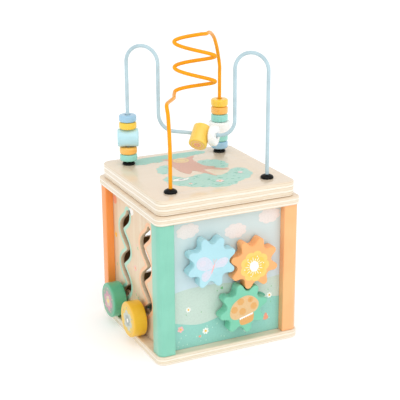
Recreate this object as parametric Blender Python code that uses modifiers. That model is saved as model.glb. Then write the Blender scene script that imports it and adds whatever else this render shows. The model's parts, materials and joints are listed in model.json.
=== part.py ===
"""A wooden activity cube with a shape sorter, for Blender 4.5.

The cube stands on its base with +Z up and its origin at the centre of the base's
underside. -Y is the gear side, -X the slide-track side, +Y the sorter side and
+X the clock side. All lengths are in metres.
"""

from math import atan2, cos, pi, radians, sin, sqrt, tanh

import bmesh
import bpy
from mathutils import Matrix, Vector

OBJECT_NAME = "activity_cube"

# Driving dimensions of the case
CUBE_SIDE = 0.200
FIT_GAP = 0.0003
BASE_THICK = 0.011
RIM_TOP = 0.1952
RIM_THICK = 0.0105
LID_TOP = 0.2148
LID_SIDE = 0.1908
PLATE_CORNER = 0.010
EDGE_ROUND = 0.0010
POST_SIDE = 0.0215
POST_INSET = 0.002
POST_CORNER = 0.008
POST_EASE = 0.0012
SCREW_OFF_CENTRE = 0.003
PANEL_THICK = 0.005
PANEL_RECESS = 0.0105
GROOVE_DEPTH = 0.005
GROOVE_SLACK = 0.0002
RIM_OPENING = 0.160
LOCATOR_SLACK = 0.001
LOCATOR_THICK = 0.008

# Heights and faces that follow from them
WALL_BOTTOM = BASE_THICK + FIT_GAP
WALL_TOP = RIM_TOP - RIM_THICK - FIT_GAP
WALL_HEIGHT = WALL_TOP - WALL_BOTTOM
WALL_MIDDLE = (WALL_TOP + WALL_BOTTOM) / 2
LID_BOTTOM = RIM_TOP + FIT_GAP
POST_FACE = CUBE_SIDE / 2 - POST_INSET
PANEL_FACE = POST_FACE - PANEL_RECESS
PANEL_BACK = PANEL_FACE - PANEL_THICK
PANEL_CENTRE = PANEL_FACE - PANEL_THICK / 2
PANEL_WIDTH = 2 * (POST_FACE - POST_SIDE + GROOVE_DEPTH - FIT_GAP)

# Bead maze
WIRE_RADIUS = 0.0024
WIRE_CORNER = 0.0672
SOCKET_FLOOR = 0.004
WIRE_FOOT = LID_BOTTOM + SOCKET_FLOOR
SOCKET_RADIUS = 0.0028
CAP_RADIUS = 0.0085
CAP_HEIGHT = 0.005
CAP_DOME = ((0.0048, 0.0047), (0.0068, 0.0039), (0.0080, 0.0026))
CAP_EDGE_HEIGHT = 0.0010
DIAGONAL = WIRE_CORNER * sqrt(2)
ORANGE_RISE_END = 0.270
ORANGE_WAY_IN = (
    (-0.0682, -0.0676, 0.2920),
    (-0.0695, -0.0680, 0.3120),
    (-0.0680, -0.0610, 0.3225),
    (-0.0570, -0.0420, 0.3212),
    (-0.0430, -0.0215, 0.3188),
    (-0.0340, -0.0070, 0.3168),
    (-0.0266, 0.0085, 0.3165),
)
ORANGE_WAY_OUT = (
    (0.0185, 0.0075, 0.3910),
    (0.0290, 0.0220, 0.3895),
    (0.0400, 0.0375, 0.3850),
    (0.0500, 0.0490, 0.3765),
    (0.0575, 0.0570, 0.3640),
    (0.0630, 0.0630, 0.3500),
)
ORANGE_FALL = (0.335, 0.325)
HUMP_RADIUS = 0.0217
HUMP_SPRING = 0.3525
VALLEY_HEIGHT = 0.2653
VALLEY_RADIUS = 0.0213
COIL_CENTRE = (-0.0003, 0.0027)
COIL_HALF_LENGTH = 0.0265
COIL_HALF_WIDTH = 0.0069
COIL_TURN = radians(-38.6)
COIL_PITCH = 0.0324
COIL_LOW_HEIGHT = 0.3175
COIL_LOW_ANGLE = 5 * pi
COIL_HIGH_ANGLE = 1.3
COIL_STEP = radians(20)
BEAD_RADIUS = 0.0116
BEAD_THICK = 0.0101
THIN_BEAD_THICK = 0.0092
BEAD_BORE = 0.0037
BEAD_SOFT_SHARE = 0.55
BEAD_SOFT_MOST = 0.0026
SHOULDER = 0.3
BEAD_GAP = 0.0003
BIG_BEAD_RADIUS = 0.0155
BIG_BEAD_THICK = 0.017
RING_BEAD_RADIUS = 0.0137
BARREL_RADIUS = 0.012
BARREL_LENGTH = 0.0275
BARREL_OFF_CENTRE = 0.003
BARREL_EDGE = 0.0016
HANG = 0.001
STACK_BOTTOM = LID_TOP + CAP_HEIGHT + 2 * FIT_GAP
VALLEY_BARREL_AT = 0.0060
VALLEY_GAP = 0.0012
VALLEY_RING_AT = VALLEY_BARREL_AT + BARREL_RADIUS + THIN_BEAD_THICK / 2 + VALLEY_GAP
VALLEY_BARREL_DIP = radians(40)
STACK_BARREL_TURN = radians(-23)

# Gears
GEAR_TEETH = 8
GEAR_CENTRE_DISTANCE = 0.0609
GEAR_MEAN_RADIUS = 0.02965
GEAR_TOOTH_HALF_DEPTH = 0.0049
GEAR_TOOTH_SHARPNESS = 1.1
GEAR_TOOTH_THINNING = 0.15
GEAR_THICK = 0.0150
GEAR_STANDOFF = 0.0016
GEAR_EDGE_ROUND = 0.0012
GEAR_STEPS_PER_TOOTH = 8
MAIN_GEAR_AT = (0.0312, 0.1168)
MAIN_GEAR_TOOTH = radians(163.6)
UPPER_GEAR_DIRECTION = radians(168.9)
UPPER_GEAR_BACKLASH = radians(3)
LOWER_GEAR_DIRECTION = radians(256.2)
LOWER_GEAR_BACKLASH = 0
SHANK_RADIUS = 0.0028
BORE_RADIUS = 0.0031
HEAD_RADIUS = 0.0055
HEAD_THICK = 0.002
FLANGE_RADIUS = 0.0044
FLANGE_THICK = 0.002
POCKET_RADIUS = 0.0048
POCKET_FLOOR = 0.004
POCKET_DEPTH = 0.003
BORE_OVERSHOOT = 0.002

# Slide tracks
TRACK_SPACING = 0.069
TRACK_OFF_CENTRE = 0.002
TRACK_SWING = 0.0115
TRACK_LOW = 0.0350
TRACK_HALF_WAVE = 0.025
TRACK_HALF_WAVES = 5
TRACK_WIDTH = 0.012
TRACK_STEPS = 35
KNOB_RADIUS = 0.0235
KNOB_THICK = 0.0185
KNOB_EDGE = 0.0018
KNOB_STANDOFF = 0.0045
SLIDER_LEAN = 0.0015
SLIDER_COLLAR_RADIUS = 0.008
RETAINER_RADIUS = 0.009
RETAINER_THICK = 0.003

# Shape sorter
HOLE_COLUMN = 0.036
UPPER_HOLE_ROW = 0.121
LOWER_HOLE_ROW = 0.062
BLOCK_HEIGHT = 0.034
BLOCK_SIDE = 0.035
BLOCK_SLACK = 0.0015
BLOCK_SPREAD = 0.036
BLOCK_CORNER = 0.003
ROUND_BLOCK_RADIUS = 0.0185
TRIANGLE_RADIUS = 0.0245
HEXAGON_RADIUS = 0.0205

# Learning clock
CLOCK_HEIGHT = 0.098
HAND_THICK = 0.003
HAND_BORE = 0.0026
HOUR_HAND_LENGTH = 0.030
MINUTE_HAND_LENGTH = 0.044
HAND_HUB_RADIUS = 0.0072
HAND_SHAFT_START = 0.009
HAND_SHAFT_HALF_WIDTH = 0.0032
HAND_TIP_HALF_WIDTH = 0.0068
HAND_TIP_LENGTH = 0.012
HAND_EDGE = 0.0004
CLOCK_HEAD_RADIUS = 0.0044
CLOCK_HEAD_DOME = (0.0032, 0.0013)
CLOCK_HEAD_EDGE = 0.0004
CLOCK_HEAD_THICK = 0.0016
CLOCK_SHANK = 0.0023

# Screws that hold the posts on the base
SCREW_LENGTH = 0.030
SCREW_RADIUS = 0.0018
SCREW_HEAD_RADIUS = 0.0042
SCREW_HEAD_THICK = 0.0026
SCREW_HEAD_EDGE = 0.0006
SCREW_POINT_LENGTH = 0.006
SCREW_TIP_LENGTH = 0.002
SCREW_SINK = 0.0008

ROUND_STEPS = 24
SMALL_ROUND_STEPS = 14

COLOURS = {
    "plywood": (0.80, 0.68, 0.52),
    "mint": (0.33, 0.71, 0.56),
    "orange": (0.92, 0.38, 0.11),
    "peach": (1.00, 0.60, 0.30),
    "yellow": (0.92, 0.62, 0.10),
    "light_blue": (0.37, 0.64, 0.84),
    "aqua": (0.50, 0.78, 0.85),
    "green": (0.26, 0.66, 0.42),
    "white": (0.88, 0.87, 0.84),
    "black": (0.02, 0.02, 0.02),
    "orange_wire": (0.90, 0.35, 0.01),
    "blue_wire": (0.48, 0.65, 0.70),
    "steel": (0.60, 0.60, 0.62),
    "sky": (0.60, 0.74, 0.78),
}
ROUGHNESS = {"black": 0.15, "orange_wire": 0.2, "blue_wire": 0.2, "steel": 0.3, "plywood": 0.45}


# ---------------------------------------------------------------- helpers


def clear_scene():
    for obj in list(bpy.data.objects):
        bpy.data.objects.remove(obj, do_unlink=True)
    for old in list(bpy.data.collections):
        bpy.data.collections.remove(old)


def make_collection(name):
    made = bpy.data.collections.new(name)
    bpy.context.scene.collection.children.link(made)
    return made


def material(name):
    found = bpy.data.materials.get(name)
    if found:
        return found
    made = bpy.data.materials.new(name)
    made.use_nodes = True
    shader = made.node_tree.nodes["Principled BSDF"]
    shader.inputs["Base Color"].default_value = (*COLOURS[name], 1.0)
    shader.inputs["Roughness"].default_value = ROUGHNESS.get(name, 0.35)
    shader.inputs["Metallic"].default_value = 1.0 if name == "steel" else 0.0
    made.diffuse_color = (*COLOURS[name], 1.0)
    return made


def add_empty(name, location, parent=None):
    empty = bpy.data.objects.new(name, None)
    empty.empty_display_size = 0.01
    parts.objects.link(empty)
    place(empty, Matrix.Translation(location), parent)
    return empty


def place(obj, world, parent=None):
    """Puts an object at a world matrix, under a parent whose own place stays as it is."""
    bpy.context.view_layer.update()
    obj.parent = parent
    obj.matrix_local = parent.matrix_world.inverted() @ world if parent else world
    bpy.context.view_layer.update()


def finish(obj, colour, world, parent=None):
    """Colours, smooths and places one part."""
    obj.data.materials.clear()
    obj.data.materials.append(material(colour))
    obj.data.shade_smooth()
    obj.data.set_sharp_from_angle(angle=radians(35))
    place(obj, world, parent)
    return obj


def new_mesh_object(name, mesh, collection=None):
    obj = bpy.data.objects.new(name, mesh)
    (collection or parts).objects.link(obj)
    return obj


def curve_to_mesh(curve_object, name):
    """Replaces a curve object by a closed mesh object with the same place."""
    bpy.context.view_layer.update()
    depsgraph = bpy.context.evaluated_depsgraph_get()
    mesh = bpy.data.meshes.new_from_object(curve_object.evaluated_get(depsgraph))
    mesh.name = name
    weld = bmesh.new()
    weld.from_mesh(mesh)
    bmesh.ops.remove_doubles(weld, verts=weld.verts, dist=0.000005)
    bmesh.ops.recalc_face_normals(weld, faces=weld.faces)
    weld.to_mesh(mesh)
    weld.free()
    made = new_mesh_object(name, mesh)
    made.matrix_world = curve_object.matrix_world
    bpy.data.objects.remove(curve_object, do_unlink=True)
    return made


def slab(name, loops, thick, edge_round=0.0):
    """A flat board: closed outlines in XY, the first outside and the others holes, centred on Z."""
    curve = bpy.data.curves.new(name + "_outline", "CURVE")
    curve.dimensions = "2D"
    curve.fill_mode = "BOTH"
    curve.extrude = thick / 2 - edge_round
    curve.bevel_depth = edge_round
    curve.bevel_resolution = 0
    curve.offset = -edge_round
    for number, loop in enumerate(loops):
        turned_right = signed_area(loop) < 0
        wants_right = number == 0
        ordered = loop if turned_right == wants_right else loop[::-1]
        spline = curve.splines.new("POLY")
        spline.points.add(len(ordered) - 1)
        for point, (x, y) in zip(spline.points, ordered):
            point.co = (x, y, 0, 1)
        spline.use_cyclic_u = True
    outline = bpy.data.objects.new(name + "_outline", curve)
    parts.objects.link(outline)
    return curve_to_mesh(outline, name)


def signed_area(loop):
    ends = loop[1:] + loop[:1]
    return sum(x0 * y1 - x1 * y0 for (x0, y0), (x1, y1) in zip(loop, ends)) / 2


def turned(name, profile, steps=ROUND_STEPS, collection=None):
    """A solid of revolution about Z. The profile runs down the outer side, top to bottom."""
    mesh = bpy.data.meshes.new(name)
    drawn = bmesh.new()
    points = [drawn.verts.new((radius, 0, height)) for radius, height in profile]
    for start, end in zip(points, points[1:]):
        drawn.edges.new((start, end))
    if profile[0][0] > 0:
        drawn.edges.new((points[-1], points[0]))
    drawn.to_mesh(mesh)
    drawn.free()
    obj = new_mesh_object(name, mesh, collection)
    screw = obj.modifiers.new("Turn", "SCREW")
    screw.axis = "Z"
    screw.steps = steps
    screw.render_steps = steps
    screw.use_merge_vertices = True
    screw.merge_threshold = 0.00001
    screw.use_smooth_shade = True
    return obj


def tube(name, route, radius):
    """A bent round wire along a list of points."""
    curve = bpy.data.curves.new(name, "CURVE")
    curve.dimensions = "3D"
    curve.bevel_depth = radius
    curve.bevel_resolution = 2
    curve.use_fill_caps = True
    spline = curve.splines.new("POLY")
    spline.points.add(len(route) - 1)
    for point, place_at in zip(spline.points, route):
        point.co = (*place_at, 1)
    obj = bpy.data.objects.new(name, curve)
    parts.objects.link(obj)
    return obj


def cut(obj, cutter):
    """Takes a cutter's shape out of an object."""
    boolean = obj.modifiers.new("Cut " + cutter.name, "BOOLEAN")
    boolean.operation = "DIFFERENCE"
    boolean.solver = "EXACT"
    boolean.object = cutter
    cutter.hide_render = True
    cutter.display_type = "WIRE"


def rounded_polygon(corners, radius, steps=4):
    """A convex outline with round corners, anticlockwise."""
    outline = []
    count = len(corners)
    for number in range(count):
        before = Vector(corners[number - 1])
        corner = Vector(corners[number])
        after = Vector(corners[(number + 1) % count])
        to_before = (before - corner).normalized()
        to_after = (after - corner).normalized()
        half_angle = to_before.angle(to_after) / 2
        centre = corner + (to_before + to_after).normalized() * (radius / sin(half_angle))
        start = corner + to_before * (radius * cos(half_angle) / sin(half_angle)) - centre
        end = corner + to_after * (radius * cos(half_angle) / sin(half_angle)) - centre
        first = atan2(start.y, start.x)
        sweep = (atan2(end.y, end.x) - first) % (2 * pi)
        for step in range(steps + 1):
            angle = first + sweep * step / steps
            outline.append((centre.x + radius * cos(angle), centre.y + radius * sin(angle)))
    return outline


def rounded_rectangle(width, height, radius, steps=4):
    x = width / 2
    y = height / 2
    return rounded_polygon([(-x, -y), (x, -y), (x, y), (-x, y)], radius, steps)


def circle(radius, centre=(0, 0), steps=SMALL_ROUND_STEPS):
    angles = [2 * pi * step / steps for step in range(steps)]
    return [(centre[0] + radius * cos(a), centre[1] + radius * sin(a)) for a in angles]


def regular_polygon(sides, radius, first_angle):
    angles = [first_angle + 2 * pi * side / sides for side in range(sides)]
    return [(radius * cos(a), radius * sin(a)) for a in angles]


def moved(loop, x, y):
    return [(px + x, py + y) for px, py in loop]


def arc(centre, radius, start, end, steps):
    angles = [radians(start + (end - start) * step / steps) for step in range(steps + 1)]
    return [(centre[0] + radius * cos(a), centre[1] + radius * sin(a)) for a in angles]


def smooth_route(points, steps):
    """A Catmull-Rom curve through points, without its last point."""
    ends = [2 * points[0] - points[1]] + points + [2 * points[-1] - points[-2]]
    route = []
    for a, b, c, d in zip(ends, ends[1:], ends[2:], ends[3:]):
        for step in range(steps):
            t = step / steps
            route.append(
                b
                + (c - a) * (t / 2)
                + (2 * a - 5 * b + 4 * c - d) * (t * t / 2)
                + (3 * b - a - 3 * c + d) * (t * t * t / 2)
            )
    return route


def facing(x, y, z, outward):
    """A place whose local Z looks out of a wall, local X runs along it and local Y is up."""
    turn = {"-Y": 0, "+X": 90, "+Y": 180, "-X": -90}[outward]
    return (
        Matrix.Translation((x, y, z))
        @ Matrix.Rotation(radians(turn), 4, "Z")
        @ Matrix.Rotation(radians(90), 4, "X")
    )


def upright(x, y, z):
    return Matrix.Translation((x, y, z))


# ---------------------------------------------------------------- case


def add_base():
    holes = [circle(SCREW_HEAD_RADIUS + FIT_GAP, (x, y)) for x, y in screw_places()]
    outline = rounded_rectangle(CUBE_SIDE, CUBE_SIDE, PLATE_CORNER)
    base = slab("base_plate", [outline] + holes, BASE_THICK, EDGE_ROUND)
    return finish(base, "plywood", upright(0, 0, BASE_THICK / 2), case)


def screw_places():
    offset = POST_FACE - POST_SIDE / 2 + SCREW_OFF_CENTRE
    return [(sx * offset, sy * offset) for sx in (-1, 1) for sy in (-1, 1)]


def post_outline(sign_x, sign_y):
    """One corner post's section, with a groove for each of the two panels it holds."""
    side = POST_SIDE
    groove_start = PANEL_RECESS - GROOVE_SLACK
    groove_end = PANEL_RECESS + PANEL_THICK + GROOVE_SLACK
    depth = side - GROOVE_DEPTH
    corner = arc((POST_CORNER, POST_CORNER), POST_CORNER, 180, 270, 6)
    along_x = [
        (side - POST_EASE, 0),
        (side, POST_EASE),
        (side, groove_start),
        (depth, groove_start),
        (depth, groove_end),
        (side, groove_end),
        (side, side - POST_EASE),
        (side - POST_EASE, side),
    ]
    along_y = [
        (groove_end, side),
        (groove_end, depth),
        (groove_start, depth),
        (groove_start, side),
        (POST_EASE, side),
        (0, side - POST_EASE),
    ]
    from_corner = corner + along_x + along_y
    return [(sign_x * (POST_FACE - x), sign_y * (POST_FACE - y)) for x, y in from_corner]


def add_posts():
    looks = {
        (-1, -1): ("front_left_post", "mint"),
        (1, -1): ("front_right_post", "peach"),
        (-1, 1): ("back_left_post", "orange"),
        (1, 1): ("back_right_post", "mint"),
    }
    for (sign_x, sign_y), (name, colour) in looks.items():
        x = sign_x * (POST_FACE - POST_SIDE / 2)
        y = sign_y * (POST_FACE - POST_SIDE / 2)
        screw_at = (sign_x * SCREW_OFF_CENTRE, sign_y * SCREW_OFF_CENTRE)
        screw_hole = circle(SCREW_RADIUS + FIT_GAP, screw_at, 10)
        post = slab(name, [moved(post_outline(sign_x, sign_y), -x, -y)], WALL_HEIGHT)
        bore = slab(name + "_bore", [screw_hole], 2 * (SCREW_LENGTH + SCREW_SINK + FIT_GAP))
        move_to_cutters(bore)
        finish(post, colour, upright(x, y, WALL_MIDDLE), case)
        place(bore, upright(x, y, 0), case)
        cut(post, bore)


def move_to_cutters(obj):
    parts.objects.unlink(obj)
    cutters.objects.link(obj)


def add_screws():
    """Countersunk screws through the base into the posts."""
    top = SCREW_SINK + SCREW_LENGTH
    shoulder = SCREW_SINK + SCREW_HEAD_THICK
    for number, (x, y) in enumerate(screw_places(), 1):
        profile = [
            (0, top),
            (SCREW_RADIUS / 2, top - SCREW_TIP_LENGTH),
            (SCREW_RADIUS, top - SCREW_POINT_LENGTH),
            (SCREW_RADIUS, shoulder),
            (SCREW_HEAD_RADIUS, SCREW_SINK + SCREW_HEAD_EDGE),
            (SCREW_HEAD_RADIUS, SCREW_SINK),
            (0, SCREW_SINK),
        ]
        screw = turned(f"base_screw_{number}", profile, SMALL_ROUND_STEPS)
        finish(screw, "steel", upright(x, y, 0), case)


def panel_outline():
    half_width = PANEL_WIDTH / 2
    half_height = WALL_HEIGHT / 2
    return [
        (-half_width, -half_height),
        (half_width, -half_height),
        (half_width, half_height),
        (-half_width, half_height),
    ]


def from_wall_middle(along, height):
    return (along, height - WALL_MIDDLE)


def add_panel(name, outward, holes, colour):
    panel = slab(name, [panel_outline()] + holes, PANEL_THICK)
    x = {"-X": -PANEL_CENTRE, "+X": PANEL_CENTRE}.get(outward, 0)
    y = {"-Y": -PANEL_CENTRE, "+Y": PANEL_CENTRE}.get(outward, 0)
    return finish(panel, colour, facing(x, y, WALL_MIDDLE, outward), case)


def add_rim():
    outline = rounded_rectangle(CUBE_SIDE, CUBE_SIDE, PLATE_CORNER)
    opening = rounded_rectangle(RIM_OPENING, RIM_OPENING, PLATE_CORNER)
    rim = slab("rim_frame", [outline, opening], RIM_THICK, EDGE_ROUND)
    return finish(rim, "plywood", upright(0, 0, RIM_TOP - RIM_THICK / 2), case)


# ---------------------------------------------------------------- lid and wires


def wire_corners():
    """The four wire feet, named by the corner that each stands at."""
    corner = WIRE_CORNER
    return {
        "front_left": (-corner, -corner),
        "back_left": (-corner, corner),
        "back_right": (corner, corner),
        "front_right": (corner, -corner),
    }


def add_lid():
    thick = LID_TOP - LID_BOTTOM
    outline = rounded_rectangle(LID_SIDE, LID_SIDE, PLATE_CORNER)
    sockets = [circle(SOCKET_RADIUS, at, 12) for at in wire_corners().values()]
    board = slab("lid_board", [outline] + sockets, thick, EDGE_ROUND)
    finish(board, "plywood", upright(0, 0, LID_BOTTOM + thick / 2), lid)
    side = RIM_OPENING - 2 * LOCATOR_SLACK
    locator = slab("lid_locator", [rounded_rectangle(side, side, PLATE_CORNER)], LOCATOR_THICK)
    centre = LID_BOTTOM - FIT_GAP - LOCATOR_THICK / 2
    finish(locator, "plywood", upright(0, 0, centre), lid)


def add_wire_caps():
    profile = [
        (SOCKET_RADIUS, CAP_HEIGHT),
        *CAP_DOME,
        (CAP_RADIUS, CAP_EDGE_HEIGHT),
        (CAP_RADIUS, 0),
        (SOCKET_RADIUS, 0),
    ]
    for corner, (x, y) in wire_corners().items():
        cap = turned(f"{corner}_wire_cap", profile, 16)
        finish(cap, "black", upright(x, y, LID_TOP + FIT_GAP), lid)


def coil_point(angle):
    """A point on the flattened coil, which winds down as the angle grows."""
    along = COIL_HALF_LENGTH * cos(angle)
    across = COIL_HALF_WIDTH * sin(angle)
    return Vector(
        (
            COIL_CENTRE[0] + along * cos(COIL_TURN) - across * sin(COIL_TURN),
            COIL_CENTRE[1] + along * sin(COIL_TURN) + across * cos(COIL_TURN),
            COIL_LOW_HEIGHT + COIL_PITCH * (COIL_LOW_ANGLE - angle) / (2 * pi),
        )
    )


def orange_route():
    """From the front left foot up, in to the coil, round it and over to the back right foot."""
    foot = WIRE_CORNER
    start = Vector((-foot, -foot, WIRE_FOOT))
    bend_in = [Vector((-foot, -foot, ORANGE_RISE_END))]
    bend_in += [Vector(point) for point in ORANGE_WAY_IN]
    bend_in.append(coil_point(COIL_LOW_ANGLE))
    count = round((COIL_LOW_ANGLE - COIL_HIGH_ANGLE) / COIL_STEP)
    spread = (COIL_LOW_ANGLE - COIL_HIGH_ANGLE) / count
    coil = [coil_point(COIL_LOW_ANGLE - spread * step) for step in range(count + 1)]
    bend_out = [coil[-1]]
    bend_out += [Vector(point) for point in ORANGE_WAY_OUT]
    bend_out += [Vector((foot, foot, height)) for height in ORANGE_FALL]
    finish_at = Vector((foot, foot, WIRE_FOOT))
    return [start] + smooth_route(bend_in, 2) + coil + smooth_route(bend_out, 2)[1:] + [finish_at]


def blue_route():
    """Two humps and a valley in one upright plane across the other diagonal."""
    outer = DIAGONAL
    inner = DIAGONAL - 2 * HUMP_RADIUS
    hump_centre = DIAGONAL - HUMP_RADIUS
    valley_centre = (inner - VALLEY_RADIUS, VALLEY_HEIGHT + VALLEY_RADIUS)
    half = [(outer, WIRE_FOOT)]
    half += arc((hump_centre, HUMP_SPRING), HUMP_RADIUS, 0, 180, 12)
    half += arc(valley_centre, VALLEY_RADIUS, 0, -90, 6)
    other_half = [(-along, height) for along, height in half[::-1]]
    flat = half + other_half
    return [Vector((along / sqrt(2), -along / sqrt(2), height)) for along, height in flat]


def add_wires():
    finish_curve(tube("orange_wire", orange_route(), WIRE_RADIUS), "orange_wire")
    finish_curve(tube("blue_wire", blue_route(), WIRE_RADIUS), "blue_wire")


def finish_curve(obj, colour):
    obj.data.materials.append(material(colour))
    place(obj, Matrix.Identity(4), lid)


# ---------------------------------------------------------------- beads


def bead_profile(radius, thick, bore):
    """Half the section of a round bead with soft edges, centred on its height."""
    half = thick / 2
    soft = min(half * BEAD_SOFT_SHARE, BEAD_SOFT_MOST)
    eased = SHOULDER * soft
    outer = [
        (radius - soft, half),
        (radius - eased, half - eased),
        (radius, half - soft),
        (radius, -half + soft),
        (radius - eased, -half + eased),
        (radius - soft, -half),
    ]
    return [(bore, half)] + outer + [(bore, -half)]


def add_bead(name, colour, world, parent, radius=BEAD_RADIUS, thick=BEAD_THICK):
    steps = 18 if radius > BEAD_RADIUS else 14
    bead = turned(name, bead_profile(radius, thick, BEAD_BORE), steps)
    return finish(bead, colour, world, parent)


def add_barrel(name, colour, world, across, parent, bore_at=0.0):
    """A barrel bead that its wire crosses; across turns its bore onto the wire, bore_at along it."""
    half = BARREL_LENGTH / 2
    radius = BARREL_RADIUS
    profile = [
        (0, half),
        (radius - BARREL_EDGE, half),
        (radius, half - BARREL_EDGE),
        (radius, -half + BARREL_EDGE),
        (radius - BARREL_EDGE, -half),
        (0, -half),
    ]
    barrel = turned(name, profile, 18)
    finish(barrel, colour, world, parent)
    bore = slab(name + "_bore", [circle(BEAD_BORE, steps=12)], 4 * radius)
    move_to_cutters(bore)
    place(bore, world @ Matrix.Translation((0, 0, bore_at)) @ across, parent)
    cut(barrel, bore)
    return barrel


def add_back_right_stack():
    x, y = wire_corners()["back_right"]
    pile = [
        ("blue_bead_low", "light_blue", BEAD_RADIUS, BEAD_THICK),
        ("mint_bead_low", "mint", BEAD_RADIUS, BEAD_THICK),
        ("white_bead_big", "white", BIG_BEAD_RADIUS, BIG_BEAD_THICK),
        ("mint_bead_high", "mint", BEAD_RADIUS, BEAD_THICK),
        ("orange_bead_high", "peach", BEAD_RADIUS, BEAD_THICK),
        ("yellow_bead_high", "yellow", BEAD_RADIUS, BEAD_THICK),
    ]
    height = STACK_BOTTOM
    parent = lid
    for name, colour, radius, thick in pile:
        parent = add_bead(name, colour, upright(x, y, height + thick / 2), parent, radius, thick)
        height += thick + BEAD_GAP


def add_back_left_stack():
    x, y = wire_corners()["back_left"]
    thick = THIN_BEAD_THICK
    height = STACK_BOTTOM
    parent = lid
    for name, colour in [("mint_bead_side", "mint"), ("orange_bead_side", "peach")]:
        parent = add_bead(name, colour, upright(x, y, height + thick / 2), parent, thick=thick)
        height += thick + BEAD_GAP
    level = upright(x, y, height + BARREL_RADIUS)
    lying = Matrix.Rotation(STACK_BARREL_TURN, 4, "Z") @ Matrix.Rotation(radians(90), 4, "Y")
    across = Matrix.Rotation(radians(90), 4, "Y")
    parent = add_barrel("aqua_barrel_bead", "aqua", level @ lying, across, parent)
    height += 2 * BARREL_RADIUS + BEAD_GAP
    for name, colour in [("yellow_bead_side", "yellow"), ("blue_bead_side", "light_blue")]:
        parent = add_bead(name, colour, upright(x, y, height + thick / 2), parent, thick=thick)
        height += thick + BEAD_GAP


def on_valley(along):
    """A place on the valley of the blue wire: local Z runs along the wire, local X is up."""
    return (
        Matrix.Translation((along / sqrt(2), -along / sqrt(2), VALLEY_HEIGHT))
        @ Matrix.Rotation(radians(-45), 4, "Z")
        @ Matrix.Rotation(radians(90), 4, "Y")
        @ Matrix.Rotation(pi, 4, "Z")
    )


def add_valley_beads():
    """Both hang on the wire; the barrel's bore is off centre, so its longer end dips."""
    hang = Matrix.Translation((0, 0, -HANG))
    wire = hang @ on_valley(VALLEY_BARREL_AT)
    dipped = wire @ Matrix.Rotation(VALLEY_BARREL_DIP, 4, "Z") @ Matrix.Rotation(radians(90), 4, "X")
    off_centre = Matrix.Translation((0, 0, -BARREL_OFF_CENTRE))
    across = Matrix.Rotation(radians(90), 4, "X")
    add_barrel("yellow_barrel_bead", "yellow", dipped @ off_centre, across, lid, BARREL_OFF_CENTRE)
    ring = hang @ on_valley(VALLEY_RING_AT)
    add_bead("white_ring_bead", "white", ring, lid, RING_BEAD_RADIUS, THIN_BEAD_THICK)


# ---------------------------------------------------------------- gears


def gear_outline(first_tooth):
    """Rounded wave teeth, a little thinner than their gaps so that a pair runs free."""
    count = GEAR_TEETH * GEAR_STEPS_PER_TOOTH
    outline = []
    for step in range(count):
        angle = 2 * pi * step / count
        wave = cos(GEAR_TEETH * (angle - first_tooth))
        shaped = tanh(GEAR_TOOTH_SHARPNESS * (wave - GEAR_TOOTH_THINNING))
        full = tanh(GEAR_TOOTH_SHARPNESS)
        radius = GEAR_MEAN_RADIUS + GEAR_TOOTH_HALF_DEPTH * shaped / full
        outline.append((radius * cos(angle), radius * sin(angle)))
    return outline


def gear_places():
    """Centre (x, z) and the direction of one tooth for each gear."""
    x, z = MAIN_GEAR_AT
    places = {"orange": (x, z, MAIN_GEAR_TOOTH)}
    for name, direction, backlash in [
        ("blue", UPPER_GEAR_DIRECTION, UPPER_GEAR_BACKLASH),
        ("green", LOWER_GEAR_DIRECTION, LOWER_GEAR_BACKLASH),
    ]:
        meshed_gap = 2 * direction + pi - MAIN_GEAR_TOOTH
        places[name] = (
            x + GEAR_CENTRE_DISTANCE * cos(direction),
            z + GEAR_CENTRE_DISTANCE * sin(direction),
            meshed_gap + pi / GEAR_TEETH + backlash,
        )
    return places


def rivet_profile(collar_radius, collar_thick, pocket_floor, wall, tail):
    """A rivet, from the flange held in the turning piece back to the tail behind the panel."""
    flange_top = collar_thick + pocket_floor + FIT_GAP + FLANGE_THICK
    flange_bottom = flange_top - FLANGE_THICK
    back = -wall - FIT_GAP
    profile = [
        (0, flange_top),
        (FLANGE_RADIUS, flange_top),
        (FLANGE_RADIUS, flange_bottom),
        (SHANK_RADIUS, flange_bottom),
        (SHANK_RADIUS, collar_thick),
        (collar_radius, collar_thick),
        (collar_radius, FIT_GAP),
        (SHANK_RADIUS, FIT_GAP),
        (SHANK_RADIUS, back),
    ]
    if tail == "head":
        profile += [(HEAD_RADIUS, back), (HEAD_RADIUS, back - HEAD_THICK), (0, back - HEAD_THICK)]
    else:
        profile += [(SHANK_RADIUS, back - RETAINER_THICK), (0, back - RETAINER_THICK)]
    return profile


def pocket_profile(depth_floor):
    """The bore and the wider pocket behind it that a rivet's flange turns in."""
    top = depth_floor + POCKET_DEPTH
    return [
        (0, top),
        (POCKET_RADIUS, top),
        (POCKET_RADIUS, depth_floor),
        (BORE_RADIUS, depth_floor),
        (BORE_RADIUS, -BORE_OVERSHOOT),
        (0, -BORE_OVERSHOOT),
    ]


def add_gears():
    colours = {"orange": "peach", "blue": "light_blue", "green": "mint"}
    for name, (x, z, tooth) in gear_places().items():
        front = facing(x, -PANEL_FACE, z, "-Y")
        pivot = add_empty(f"{name}_gear_pivot", (x, -PANEL_FACE, z), case)
        rivet = turned(
            f"{name}_gear_rivet",
            rivet_profile(HEAD_RADIUS, GEAR_STANDOFF - FIT_GAP, POCKET_FLOOR, PANEL_THICK, "head"),
            SMALL_ROUND_STEPS,
        )
        finish(rivet, "steel", front, case)
        gear = slab(f"{name}_gear", [gear_outline(tooth)], GEAR_THICK, GEAR_EDGE_ROUND)
        middle = front @ Matrix.Translation((0, 0, GEAR_STANDOFF + GEAR_THICK / 2))
        finish(gear, colours[name], middle, pivot)
        pocket = turned(f"{name}_gear_pocket", pocket_profile(POCKET_FLOOR), 16, cutters)
        place(pocket, front @ Matrix.Translation((0, 0, GEAR_STANDOFF)), pivot)
        cut(gear, pocket)


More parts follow.
